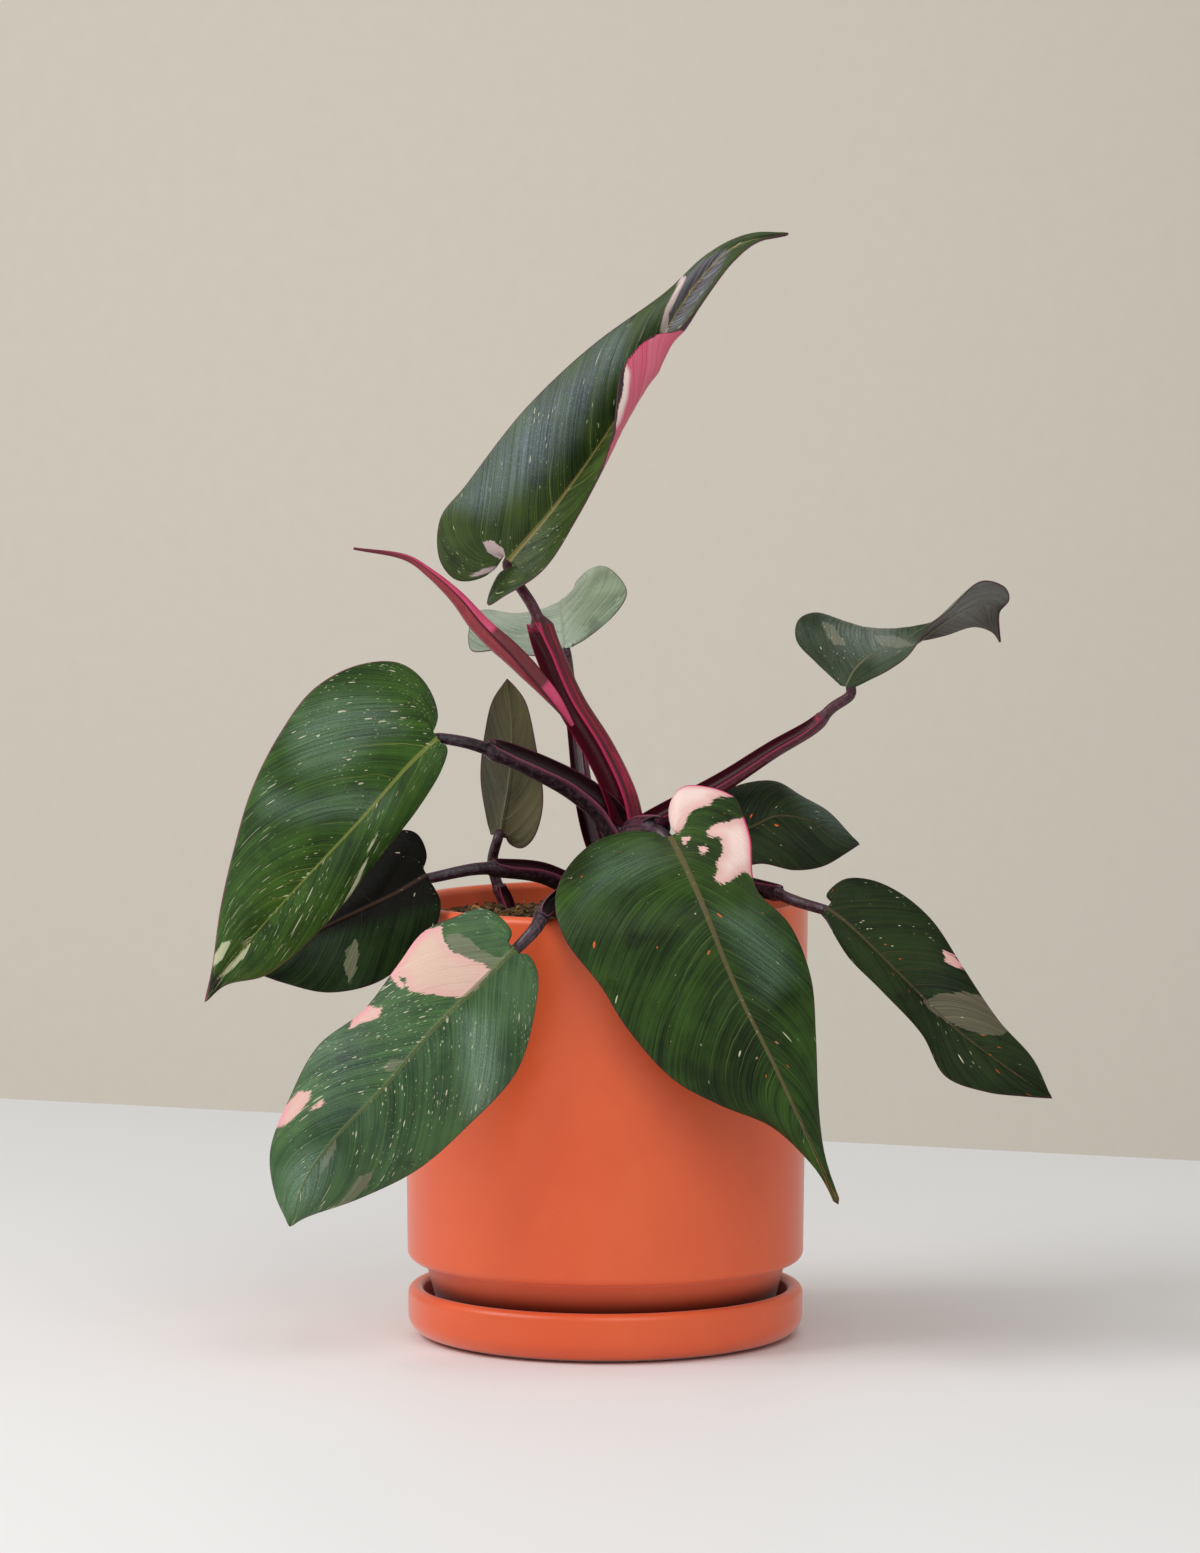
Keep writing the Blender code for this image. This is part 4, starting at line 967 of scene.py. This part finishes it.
def smooth_curve(points, count):
    """count + 1 points at even distances along a smooth curve through the given points."""
    knots = np.array([tuple(p) for p in points], dtype=float)
    steps = np.maximum(np.linalg.norm(np.diff(knots, axis=0), axis=1), 1e-6)
    at = np.concatenate([[0.0], np.cumsum(np.sqrt(steps))])
    slopes = np.diff(knots, axis=0) / np.diff(at)[:, None]
    tangents = np.empty_like(knots)
    tangents[0] = slopes[0]
    tangents[-1] = slopes[-1]
    before = np.diff(at)[:-1, None]
    after = np.diff(at)[1:, None]
    tangents[1:-1] = (slopes[:-1] * after + slopes[1:] * before) / (before + after)
    dense_at = np.linspace(0.0, at[-1], CURVE_GRAIN * len(knots))
    index = np.clip(np.searchsorted(at, dense_at, side="right") - 1, 0, len(knots) - 2)
    width = (at[index + 1] - at[index])[:, None]
    u = ((dense_at - at[index])[:, None]) / width
    dense = ((2 * u**3 - 3 * u**2 + 1) * knots[index]
             + (u**3 - 2 * u**2 + u) * width * tangents[index]
             + (3 * u**2 - 2 * u**3) * knots[index + 1]
             + (u**3 - u**2) * width * tangents[index + 1])
    run = np.concatenate([[0.0], np.cumsum(np.linalg.norm(np.diff(dense, axis=0), axis=1))])
    wanted = np.linspace(0.0, run[-1], count + 1)
    return np.stack([np.interp(wanted, run, dense[:, axis]) for axis in range(3)], axis=1)


def on_circle(radius, step, steps):
    """The point (x, y) on a circle about the origin after a share of the way round it."""
    angle = 2.0 * math.pi * step / steps
    return radius * math.cos(angle), radius * math.sin(angle)


def unit(vector):
    """The vector at length 1."""
    return vector / max(float(np.linalg.norm(vector)), 1e-9)


def curve_point(curve, share):
    """The point at a share, from 0 to 1, of the way along evenly spaced points."""
    last = len(curve) - 1
    return np.array([np.interp(share * last, range(last + 1), curve[:, axis]) for axis in range(3)])


def blade_frame(leaf):
    """Where a leaf starts, the way that it runs there, and its upward and left directions."""
    rib = smooth_curve(leaf["midrib"], FRAME_STEPS)
    ahead = unit(rib[1] - rib[0])
    across = np.array(leaf["left"][1], dtype=float) - np.array(leaf["right"][1], dtype=float)
    up = unit(np.cross(ahead, across))
    return rib[0], ahead, up, unit(np.cross(up, ahead))


def lobe_share(edge, start, ahead):
    """The share of an edge that belongs to the lobe, up to where it passes the stalk."""
    behind = np.flatnonzero((edge - start) @ ahead < 0.0)
    passed = (behind[-1] + 1) / (len(edge) - 1) if len(behind) else 0.0
    return max(LEAST_LOBE_SHARE, passed)


def blade_side(leaf, look, side, start_point):
    """Points over one half of a blade, row by row, with their distances for the material."""
    rib = smooth_curve(leaf["midrib"], FINE_STEPS)
    edge = smooth_curve([start_point, *leaf[side], leaf["midrib"][-1]], FINE_STEPS)
    edge_length = float(np.linalg.norm(np.diff(edge, axis=0), axis=1).sum())
    lobe = lobe_share(edge, rib[0], unit(rib[1] - rib[0]))
    arches = leaf["arch_" + side]
    across = (1.0 - np.cos(np.pi * np.arange(COLUMNS + 1) / COLUMNS)) / 2.0
    rows = []
    values = []
    for row in range(ROWS + 1):
        share = row / ROWS
        along = max(0.0, (share - lobe) / (1.0 - lobe))
        beside_stalk = 1.0 - min(1.0, share / lobe) ** LOBE_EASE
        root = curve_point(rib, along) + (start_point - rib[0]) * beside_stalk
        rim = curve_point(edge, share)
        near = min(int(along * FINE_STEPS), FINE_STEPS - 1)
        ahead = unit(rib[near + 1] - rib[near])
        outward = rim - root if side == "left" else root - rim
        up = unit(np.cross(ahead, outward))
        arch = np.interp(share * (len(arches) - 1), range(len(arches)), arches)
        width = float(np.linalg.norm(rim - root))
        rib_width = look["rib"] * (1.0 - RIB_TAPER * along)
        rib_point = curve_point(rib, along)
        for v in across:
            rows.append(root + (rim - root) * v + up * arch * 4.0 * v * (1.0 - v))
            vein = (share - look["sweep"] * v ** SWEEP_POWER) * edge_length
            from_rib = np.linalg.norm(rows[-1] - rib_point)
            values.append((vein, v * width, (1.0 - v) * width, from_rib / rib_width, v, along))
    return rows, values


def grid_faces(offset, flip):
    """Quads of one half of a blade."""
    faces = []
    for row in range(ROWS):
        for column in range(COLUMNS):
            a = offset + row * (COLUMNS + 1) + column
            b = a + COLUMNS + 1
            face = (a, b, b + 1, a + 1)
            faces.append(face[::-1] if flip else face)
    return faces


def merged(points, faces):
    """Joins points that lie on each other. Returns the kept points' numbers and the faces."""
    keys = {}
    target = np.empty(len(points), dtype=int)
    kept = []
    for number, point in enumerate(points):
        key = tuple(np.round(point / MERGE_GRAIN).astype(int))
        if key not in keys:
            keys[key] = len(kept)
            kept.append(number)
        target[number] = keys[key]
    clean = []
    for face in faces:
        corners = list(dict.fromkeys(int(target[c]) for c in face))
        if len(corners) > 2:
            clean.append(corners)
    return kept, clean


def point_normals(points, faces):
    """Unit normals at the points, from the faces around them."""
    corners = np.array([face if len(face) == 4 else [*face, face[-1]] for face in faces])
    area = np.cross(points[corners[:, 1]] - points[corners[:, 0]],
                    points[corners[:, 2]] - points[corners[:, 0]])
    normals = np.zeros_like(points)
    for column in range(4):
        np.add.at(normals, corners[:, column], area)
    return normals / np.maximum(np.linalg.norm(normals, axis=1), 1e-9)[:, None]


def seen_from_camera(points):
    """Where the lines of sight through the points meet the plane y = 0, as (x, z)."""
    eye = np.array(CAMERA_PLACE)
    reach = -eye[1] / (points[:, 1] - eye[1])
    return np.stack([eye[0] + (points[:, 0] - eye[0]) * reach,
                     eye[2] + (points[:, 2] - eye[2]) * reach], axis=1)


def outline_distance(places, outline):
    """Distance in millimetres from an outline, positive inside it."""
    corners = np.array(outline, dtype=float)
    nearest = np.full(len(places), 1e9)
    inside = np.zeros(len(places), dtype=bool)
    for first, second in zip(corners, np.roll(corners, -1, axis=0)):
        way = second - first
        share = np.clip(((places - first) @ way) / (way @ way), 0.0, 1.0)
        nearest = np.minimum(nearest, np.linalg.norm(places - first - share[:, None] * way, axis=1))
        crosses = (first[1] > places[:, 1]) != (second[1] > places[:, 1])
        rise = second[1] - first[1] if second[1] != first[1] else 1.0
        at = first[0] + (places[:, 1] - first[1]) * way[0] / rise
        inside ^= crosses & (places[:, 0] < at)
    return np.where(inside, nearest, -nearest)


def patch_distance(places, outlines):
    """Distance from the nearest of several outlines, positive inside any."""
    distance = np.full(len(places), FAR_OUTSIDE)
    for outline in outlines:
        distance = np.maximum(distance, outline_distance(places, outline))
    return distance


def relief(points, values):
    """How far the upper face stands up: quilting between the veins, ripples and the midrib."""
    vein, _, _, rib, v, _ = values.T
    pillow = np.abs(np.sin(np.pi * vein / VEIN_SPACING)) ** QUILT_POWER - QUILT_LEVEL
    quilt = QUILT * pillow * np.sin(np.pi * v) ** 0.5
    wavy = np.array([noise.noise(Vector(p) * RIPPLE_SCALE) for p in points])
    ripple = wavy * RIPPLE * np.clip(v * 3.0, 0, 1)
    midrib = RIB_RISE * np.clip(1.0 - rib**2, 0.0, 1.0)
    return quilt + ripple, midrib


def blade(name, seed):
    """A fine leaf blade: both faces, a thin rounded rim, and the midrib proud underneath."""
    leaf = LEAVES[name]
    start, _, up, left = blade_frame(leaf)
    look = LOOKS[name]
    left_points, left_values = blade_side(leaf, look, "left", start + left * SINUS_HALF_WIDTH)
    right_points, right_values = blade_side(leaf, look, "right", start - left * SINUS_HALF_WIDTH)
    faces = grid_faces(0, True) + grid_faces(len(left_points), False)
    points = np.array(left_points + right_points)
    values = np.array(left_values + right_values)
    kept, faces = merged(points, faces)
    points = points[kept]
    values = values[kept]
    normals = point_normals(points, faces)
    if (normals @ up).mean() < 0.0:
        faces = [face[::-1] for face in faces]
        normals = -normals
    wave, midrib = relief(points, values)
    rib = values[:, 3]
    along = values[:, 5]
    rim = np.clip(values[:, 2] / RIM_WIDTH, 0.0, 1.0)
    half = (RIM_THICKNESS + (THICKNESS - RIM_THICKNESS) * np.sqrt(rim)) / 2.0
    ridge = np.clip(1.0 - (rib / KEEL_REACH) ** 2, 0.0, 1.0) ** KEEL_POWER
    keel = look["keel"] * (1.0 - KEEL_TAPER * along) * ridge
    upper = points + normals * (half + wave + midrib)[:, None]
    lower = points - normals * (half - wave + keel)[:, None]
    count = len(points)
    all_faces = [list(f) for f in faces] + [[c + count for c in f[::-1]] for f in faces]
    directed = {(f[i], f[(i + 1) % len(f)]) for f in faces for i in range(len(f))}
    rim_faces = [[b, a, a + count, b + count] for a, b in sorted(directed) if (b, a) not in directed]
    material_index = [0] * len(faces) + [1] * len(faces) + [1] * len(rim_faces)
    numbers = {"vein_mm": values[:, 0], "out_mm": values[:, 1], "edge_mm": values[:, 2],
               "rib": rib, "across": values[:, 4]}
    numbers = {key: np.concatenate([column, column]) for key, column in numbers.items()}
    marks = MARKS.get(name, {})
    for key in PATCHES:
        above = marks.get(key, [])
        below = marks.get("under", above) if key == "pink" else above
        numbers[key] = np.concatenate([patch_distance(seen_from_camera(upper), above),
                                       patch_distance(seen_from_camera(lower), below)])
    piece = add_piece(name + "_skin", np.concatenate([upper, lower]), all_faces + rim_faces,
                      [leaf_top_material(name, look, seed), leaf_under_material(name, look, seed)],
                      material_index, numbers)
    dress(piece, "leaf_green", name)


def stalk_section(openness):
    """One section of a stalk, as (sideways, up) in radii: closed and round, or an open sheath."""
    half = math.radians(LIP_ANGLE_CLOSED + (LIP_ANGLE - LIP_ANGLE_CLOSED) * openness)
    lip = half * LIP_SHARE
    inner = np.linspace(lip - half, half - lip, CHANNEL_POINTS)
    right = np.linspace(half - lip, half + lip, LIP_POINTS + 2)[1:-1]
    outer = np.linspace(half + lip, 2.0 * math.pi - half - lip, OUTER_POINTS)
    turn = np.concatenate([inner, right, outer, 2.0 * math.pi - right[::-1]])
    in_channel = np.zeros(STALK_SIDES)
    in_channel[:CHANNEL_POINTS] = 1.0
    on_lip = np.zeros(STALK_SIDES)
    on_lip[CHANNEL_POINTS:CHANNEL_POINTS + LIP_POINTS] = 1.0
    on_lip[-LIP_POINTS:] = 1.0
    across = np.minimum(np.abs(turn) / (half - lip), 1.0)
    depth = CHANNEL_DEPTH * (1.0 - across**3) * in_channel * openness
    up = np.cos(turn) - depth + LIP_HEIGHT * on_lip * openness
    return np.sin(turn), up, on_lip, in_channel


def sheath_openness(share, sheath_end):
    """How far the sheath is open at a share of a stalk: 1 along most of it, closing at its end."""
    left = (sheath_end - share) / (SHEATH_CLOSING * sheath_end) if sheath_end > 0.0 else 0.0
    left = min(max(left, 0.0), 1.0)
    return math.sqrt(1.0 - (1.0 - left) ** 2)


def tube_faces(steps, sides):
    """The two ends and the sides of a tube, from its rings of points."""
    faces = [list(range(sides))[::-1], [steps * sides + side for side in range(sides)]]
    for ring in range(steps):
        for side in range(sides):
            after = (side + 1) % sides
            low = ring * sides
            high = low + sides
            faces.append([low + side, low + after, high + after, high + side])
    return faces


def section_axes(tangent, front):
    """The way ahead, the way that a section's front faces, square to it, and the section's side."""
    ahead = unit(tangent)
    up = unit(np.array(front) - ahead * np.dot(front, ahead))
    return ahead, up, np.cross(ahead, up)


def stalk_mesh(centres, radius, opens, sheath_end, crimson, end_direction):
    """Points, faces and numbers of one stalk whose sheath opens towards a direction."""
    tangents = np.gradient(centres, axis=0)
    tangents[-1] = end_direction
    points = []
    rows = []
    steps = len(centres) - 1
    length = float(np.linalg.norm(np.diff(centres, axis=0), axis=1).sum())
    for step, (centre, tangent, size) in enumerate(zip(centres, tangents, radius)):
        share = step / steps
        ahead, up, side = section_axes(tangent, opens)
        openness = sheath_openness(share, sheath_end)
        closing = 1.0 if 0.0 < openness < 0.5 else 0.0
        reach = SHEATH_TIP_REACH * (1.0 - openness) if share <= sheath_end else 0.0
        redness = crimson * (1.0 if share <= sheath_end else FREE_STALK_REDNESS)
        for a, b, on_lip, in_channel in zip(*stalk_section(openness)):
            high = max(0.0, b)
            points.append(centre + (side * a + up * b + ahead * reach * high) * size)
            lip_edge = max(on_lip * min(1.0, 3.0 * openness), in_channel * closing)
            rows.append((redness, in_channel * openness ** 0.3, lip_edge, a, b, share * length))
    return points, tube_faces(steps, STALK_SIDES), dict(zip(STALK_NUMBERS, zip(*rows)))


def stalk_parts(leaf, shape):
    """A leaf's stalk from the stem to its junction with the blade."""
    start, ahead, up, _ = blade_frame(LEAVES[leaf])
    end = start - up * STALK_TIP_DROP + ahead * STALK_OVERLAP
    route = [*shape["route"], end - (ahead + up * STALK_END_LEAN) * STALK_END_LENGTH, end]
    base, sheath, free = shape["radii"]
    sheath_end = shape["sheath_end"]
    centres = smooth_curve(route, STALK_STEPS)
    radius = np.interp(np.linspace(0.0, 1.0, STALK_STEPS + 1),
                       (0.0, sheath_end, sheath_end + SHEATH_STEP, 1.0),
                       (base, sheath, free, STALK_TIP_RADIUS))
    return stalk_mesh(centres, radius, shape["opens"], sheath_end, shape["crimson"], ahead)


def joined_parts(parts):
    """One set of points, faces and numbers from several."""
    points = []
    faces = []
    numbers = {}
    for part_points, part_faces, part_numbers in parts:
        offset = len(points)
        points += list(part_points)
        faces += [[c + offset for c in face] for face in part_faces]
        for key, column in part_numbers.items():
            numbers.setdefault(key, []).extend(column)
    return points, faces, numbers


def main_stem(skin):
    """The short stem and the stalks that grow from it."""
    centres = smooth_curve(MAIN_STEM_ROUTE, STALK_STEPS)
    waves = np.sin(np.linspace(0.0, MAIN_STEM_SWELL_REACH, STALK_STEPS + 1))
    radius = MAIN_STEM_RADIUS * MAIN_STEM_SLIMNESS * (1.0 + MAIN_STEM_SWELL * waves)
    parts = [stalk_mesh(centres, radius, MAIN_STEM_OPENS, 0.0, MAIN_STEM_CRIMSON,
                        np.array(MAIN_STEM_END_WAY))]
    parts += [stalk_parts(name, stalk) for name, stalk in STALKS.items()]
    points, faces, numbers = joined_parts(parts)
    dress(add_piece("stem_and_stalks", points, faces, [skin], values=numbers), "stem", "main_stem")


def side_stem(skin):
    """The stalk of the small leaf, straight out of the soil."""
    points, faces, numbers = stalk_parts("leaf_back_small", SIDE_STALK)
    dress(add_piece("side_stalk", points, faces, [skin], values=numbers), "stem", "side_stem")


def rolled_leaf():
    """The new leaf, rolled round itself: one edge laps over the other along a slanting seam."""
    centres = smooth_curve(ROLLED_LEAF_ROUTE, ROLL_STEPS)
    at = np.linspace(0.0, 1.0, ROLL_STEPS + 1)
    radius = np.interp(at, np.linspace(0.0, 1.0, len(ROLLED_LEAF_RADII)), ROLLED_LEAF_RADII)
    tangents = np.gradient(centres, axis=0)
    points = []
    rows = []
    for centre, tangent, size, share in zip(centres, tangents, radius, at):
        _, up, side = section_axes(tangent, ROLL_FRONT)
        seam_at = math.radians(np.interp(share, ROLL_SEAM_SHARES, ROLL_SEAM_ANGLES))
        for number in range(ROLL_SIDES):
            wrap = ROLL_INNER_WRAP + ROLL_LAP * number / ROLL_SIDES
            angle = 2.0 * math.pi * number / ROLL_SIDES + seam_at
            points.append(centre + (up * math.cos(angle) + side * math.sin(angle)) * size * wrap)
            seam = 1.0 if number in (0, ROLL_SIDES - 1) else 0.0
            rows.append((share, seam, 1.0 if number < ROLL_SIDES / 2 else 0.0))
    numbers = dict(zip(("along", "seam", "flap"), zip(*rows)))
    piece = add_piece("new_leaf_skin", points, tube_faces(ROLL_STEPS, ROLL_SIDES),
                      [rolled_leaf_material()], values=numbers)
    dress(piece, "leaf_new", "leaf_new_rolled")


def turned(name, profile, made):
    """A solid turned about Z from a profile of (radius, z), run once round the section."""
    points = []
    rings = []
    for radius, z in profile:
        if radius == 0.0:
            rings.append([len(points)] * TURNED_SIDES)
            points.append((0.0, 0.0, z))
            continue
        rings.append(list(range(len(points), len(points) + TURNED_SIDES)))
        points += [(*on_circle(radius, side, TURNED_SIDES), z) for side in range(TURNED_SIDES)]
    count = len(profile)
    last = count - 1 if profile[0][0] == 0.0 else count
    faces = []
    for low in range(last):
        high = (low + 1) % count
        for side in range(TURNED_SIDES):
            after = (side + 1) % TURNED_SIDES
            corners = [rings[low][side], rings[low][after], rings[high][after], rings[high][side]]
            face = list(dict.fromkeys(corners))
            if len(face) > 2:
                faces.append(face)
    return add_piece(name, points, faces, [made], smooth_angle=50.0)


def arc(centre, radius, start, end, steps=ARC_STEPS):
    """Points of a profile along an arc, angles in degrees from +r towards +z."""
    points = []
    for step in range(steps + 1):
        angle = math.radians(start + (end - start) * step / steps)
        points.append((centre[0] + radius * math.cos(angle), centre[1] + radius * math.sin(angle)))
    return points


def saucer():
    """A dish with a flat base, a rounded side, a rounded rim and a coved inner corner."""
    rim_centre = (SAUCER_RADIUS - SAUCER_RIM_ROUNDING, SAUCER_HEIGHT - SAUCER_RIM_ROUNDING)
    side_centre = (SAUCER_RADIUS - SAUCER_BOTTOM_ROUNDING, SAUCER_BOTTOM_ROUNDING + SAUCER_SIDE_LIFT)
    cove_centre = (SAUCER_INNER_RADIUS - SAUCER_COVE - SAUCER_COVE_INSET, SAUCER_FLOOR_Z + SAUCER_COVE)
    profile = [(0.0, 0.0), (SAUCER_FOOT_RADIUS - 2.0 * SMALL_BEVEL, 0.0),
               (SAUCER_FOOT_RADIUS - SMALL_BEVEL, SAUCER_FOOT_LIFT)]
    profile += arc(side_centre, SAUCER_BOTTOM_ROUNDING, SAUCER_SIDE_START, 0.0)
    profile += arc(rim_centre, SAUCER_RIM_ROUNDING, 0.0, 180.0)
    profile += arc(cove_centre, SAUCER_COVE, 0.0, -90.0)
    profile.append((0.0, SAUCER_FLOOR_Z))
    glaze = ceramic_material("saucer_ceramic_glaze", SAUCER_ROUGHNESS)
    piece = turned("saucer_glaze", profile, glaze)
    dress(piece, "saucer_ceramic", "saucer")


def pot():
    """A cylinder with a rounded lip, a lower edge that steps in to a foot, and a drain hole."""
    foot_z = SAUCER_FLOOR_Z + FOOT_GAP
    recess_z = foot_z + FOOT_RECESS_DEPTH
    floor_z = recess_z + POT_FLOOR
    lip = POT_WALL / 2.0
    foot_centre = (FOOT_RADIUS - FOOT_ROUNDING, foot_z + FOOT_ROUNDING)
    edge_centre = (POT_LOWER_RADIUS - POT_EDGE_ROUNDING, POT_LOWER_EDGE_Z + POT_EDGE_ROUNDING)
    inner_radius = POT_RIM_RADIUS - POT_WALL
    profile = [(DRAIN_RADIUS, recess_z), (FOOT_RECESS_RADIUS, recess_z),
               (FOOT_RECESS_RADIUS + SMALL_BEVEL, foot_z)]
    profile += arc(foot_centre, FOOT_ROUNDING, -90.0, 0.0, FOOT_ARC_STEPS)
    profile.append((FOOT_TOP_RADIUS, POT_LOWER_EDGE_Z - FOOT_TOP_DROP))
    profile += arc(edge_centre, POT_EDGE_ROUNDING, -90.0, 0.0)
    profile += arc((POT_RIM_RADIUS - lip, POT_HEIGHT - lip), lip, 0.0, 180.0, LIP_ARC_STEPS)
    profile += [(inner_radius - POT_INNER_TAPER, POT_LOWER_EDGE_Z + POT_INNER_SHOULDER_HEIGHT),
                (inner_radius - POT_INNER_SHOULDER, POT_LOWER_EDGE_Z),
                (FOOT_RADIUS - POT_WALL, floor_z + POT_INNER_CORNER), (DRAIN_RADIUS, floor_z)]
    glaze = ceramic_material("pot_ceramic_glaze", POT_ROUGHNESS, POT_LOWER_EDGE_Z)
    piece = turned("pot_glaze", profile, glaze)
    dress(piece, "pot_ceramic", "pot")


def soil_surface():
    """The rough top of the soil, with a short skirt hidden by the pot's wall."""
    points = [(0.0, 0.0, SOIL_TOP)]
    shades = [0.3]
    for ring in range(1, SOIL_RINGS + 1):
        radius = SOIL_RADIUS * ring / SOIL_RINGS
        for spoke in range(SOIL_SPOKES):
            x, y = on_circle(radius, spoke, SOIL_SPOKES)
            crumb = CRUMB_SHARE * noise.noise(Vector((x, y, 5.0)) * CRUMB_SCALE)
            lump = noise.noise(Vector((x, y, 0.0)) * LUMP_SCALE) + crumb
            points.append((x, y, SOIL_TOP - SOIL_SINK + SOIL_ROUGHNESS_HEIGHT * lump))
            shades.append(0.25 + 0.25 * noise.noise(Vector((x, y, 9.0)) * SHADE_SCALE))
    for spoke in range(SOIL_SPOKES):
        points.append((*on_circle(SOIL_RADIUS, spoke, SOIL_SPOKES), SOIL_TOP - SOIL_SKIRT))
        shades.append(0.1)
    faces = []
    for spoke in range(SOIL_SPOKES):
        faces.append([0, 1 + spoke, 1 + (spoke + 1) % SOIL_SPOKES])
    for ring in range(SOIL_RINGS):
        for spoke in range(SOIL_SPOKES):
            after = (spoke + 1) % SOIL_SPOKES
            low = 1 + ring * SOIL_SPOKES
            high = low + SOIL_SPOKES
            faces.append([low + spoke, high + spoke, high + after, low + after])
    return points, faces, {"chip": shades}


def soil_chips(draw):
    """Loose chips of bark that lie on the soil every which way."""
    parts = []
    for _ in range(CHIP_COUNT):
        radius = (SOIL_RADIUS - CHIP_EDGE_GAP) * math.sqrt(draw.random())
        angle = draw.uniform(0.0, 2.0 * math.pi)
        long = draw.uniform(*CHIP_LENGTH) * draw.uniform(*CHIP_SHORTENING) / 2.0
        size = Vector((long, long * draw.uniform(*CHIP_WIDTH), long * draw.uniform(*CHIP_THICKNESS)))
        tilt = Vector((draw.uniform(*CHIP_TILT), draw.uniform(*CHIP_TILT), 1.0)).normalized()
        turn = tilt.to_track_quat("Z", "Y")
        spin = draw.uniform(0.0, 2.0 * math.pi)
        centre = Vector((radius * math.cos(angle), radius * math.sin(angle),
                         SOIL_TOP + draw.uniform(*CHIP_RISE)))
        points = []
        for corner in CHIP_CORNERS:
            local = Vector([c * s * draw.uniform(*CHIP_RAGGEDNESS) for c, s in zip(corner, size)])
            flat = Vector((local.x * math.cos(spin) - local.y * math.sin(spin),
                           local.x * math.sin(spin) + local.y * math.cos(spin), local.z))
            points.append(tuple(centre + turn @ flat))
        parts.append((points, CHIP_FACES, {"chip": [draw.random()] * len(CHIP_CORNERS)}))
    return parts


def soil():
    """Rough soil and its chips as one piece."""
    draw = random.Random(SEED)
    points, faces, numbers = joined_parts([soil_surface()] + soil_chips(draw))
    piece = add_piece("soil_chips_and_crumb", points, faces, [soil_material()], values=numbers,
                      smooth_angle=25.0)
    dress(piece, "soil", "soil")


def stage():
    """The white table whose far edge runs askew, and the wall far behind it."""
    left_x, left_y = TABLE_EDGE_LEFT
    right_x, right_y = TABLE_EDGE_RIGHT
    slope = (right_y - left_y) / (right_x - left_x)
    far_left = left_y + slope * (-TABLE_HALF_WIDTH - left_x)
    far_right = left_y + slope * (TABLE_HALF_WIDTH - left_x)
    corners = [(-TABLE_HALF_WIDTH, TABLE_NEAR_Y), (TABLE_HALF_WIDTH, TABLE_NEAR_Y),
               (TABLE_HALF_WIDTH, far_right), (-TABLE_HALF_WIDTH, far_left)]
    points = [(x, y, z) for z in (0.0, -TABLE_THICKNESS) for x, y in corners]
    faces = [(0, 1, 2, 3), (7, 6, 5, 4)]
    faces += [(side, side + 4, (side + 1) % 4 + 4, (side + 1) % 4) for side in range(4)]
    table = add_piece("table", points, faces, [table_material()])
    points = [(-WALL_HALF_WIDTH, WALL_Y, WALL_LOW_Z), (WALL_HALF_WIDTH, WALL_Y, WALL_LOW_Z),
              (WALL_HALF_WIDTH, WALL_Y, WALL_HIGH_Z), (-WALL_HALF_WIDTH, WALL_Y, WALL_HIGH_Z)]
    wall = add_piece("wall", points, [(0, 1, 2, 3)], [wall_material()])


def lamp(name, place, width, power, aim):
    """A square soft light that faces a point."""
    data = bpy.data.lights.new(name, "AREA")
    data.shape = "SQUARE"
    data.size = width * MM
    data.energy = power
    made = placed(name, data)
    made.location = Vector(place) * MM
    way = (Vector(aim) - Vector(place)).normalized()
    made.rotation_euler = way.to_track_quat("-Z", "Y").to_euler()
    made.visible_camera = False


def studio():
    """Soft daylight from the left and above, with an even fill from all round."""
    world = bpy.data.worlds.new("studio_air")
    world.use_nodes = True
    air = world.node_tree.nodes["Background"]
    air.inputs["Color"].default_value = AIR_COLOUR
    air.inputs["Strength"].default_value = AIR_STRENGTH
    bpy.context.scene.world = world
    for name, settings in LAMPS.items():
        lamp(name, *settings)


def camera():
    """The camera, as far away and as long in focus as the picture's perspective asks."""
    data = bpy.data.cameras.new("camera")
    data.sensor_fit = "AUTO"
    data.sensor_width = CAMERA_SENSOR
    data.lens = CAMERA_LENS
    data.clip_end = CAMERA_REACH_METRES
    made = placed("camera", data)
    made.location = Vector(CAMERA_PLACE) * MM
    made.rotation_euler = (math.radians(90.0 - CAMERA_PITCH_DOWN), 0.0, 0.0)
    bpy.context.scene.camera = made


def build():
    """Makes every piece, the stage, the lights and the camera."""
    camera()
    stage()
    studio()
    saucer()
    pot()
    soil()
    skin = stalk_material()
    main_stem(skin)
    side_stem(skin)
    rolled_leaf()
    for number, name in enumerate(LEAVES):
        blade(name, LEAF_SEED_STEP * number + LEAF_SEED)
    bpy.context.scene.view_settings.view_transform = "Standard"


build()
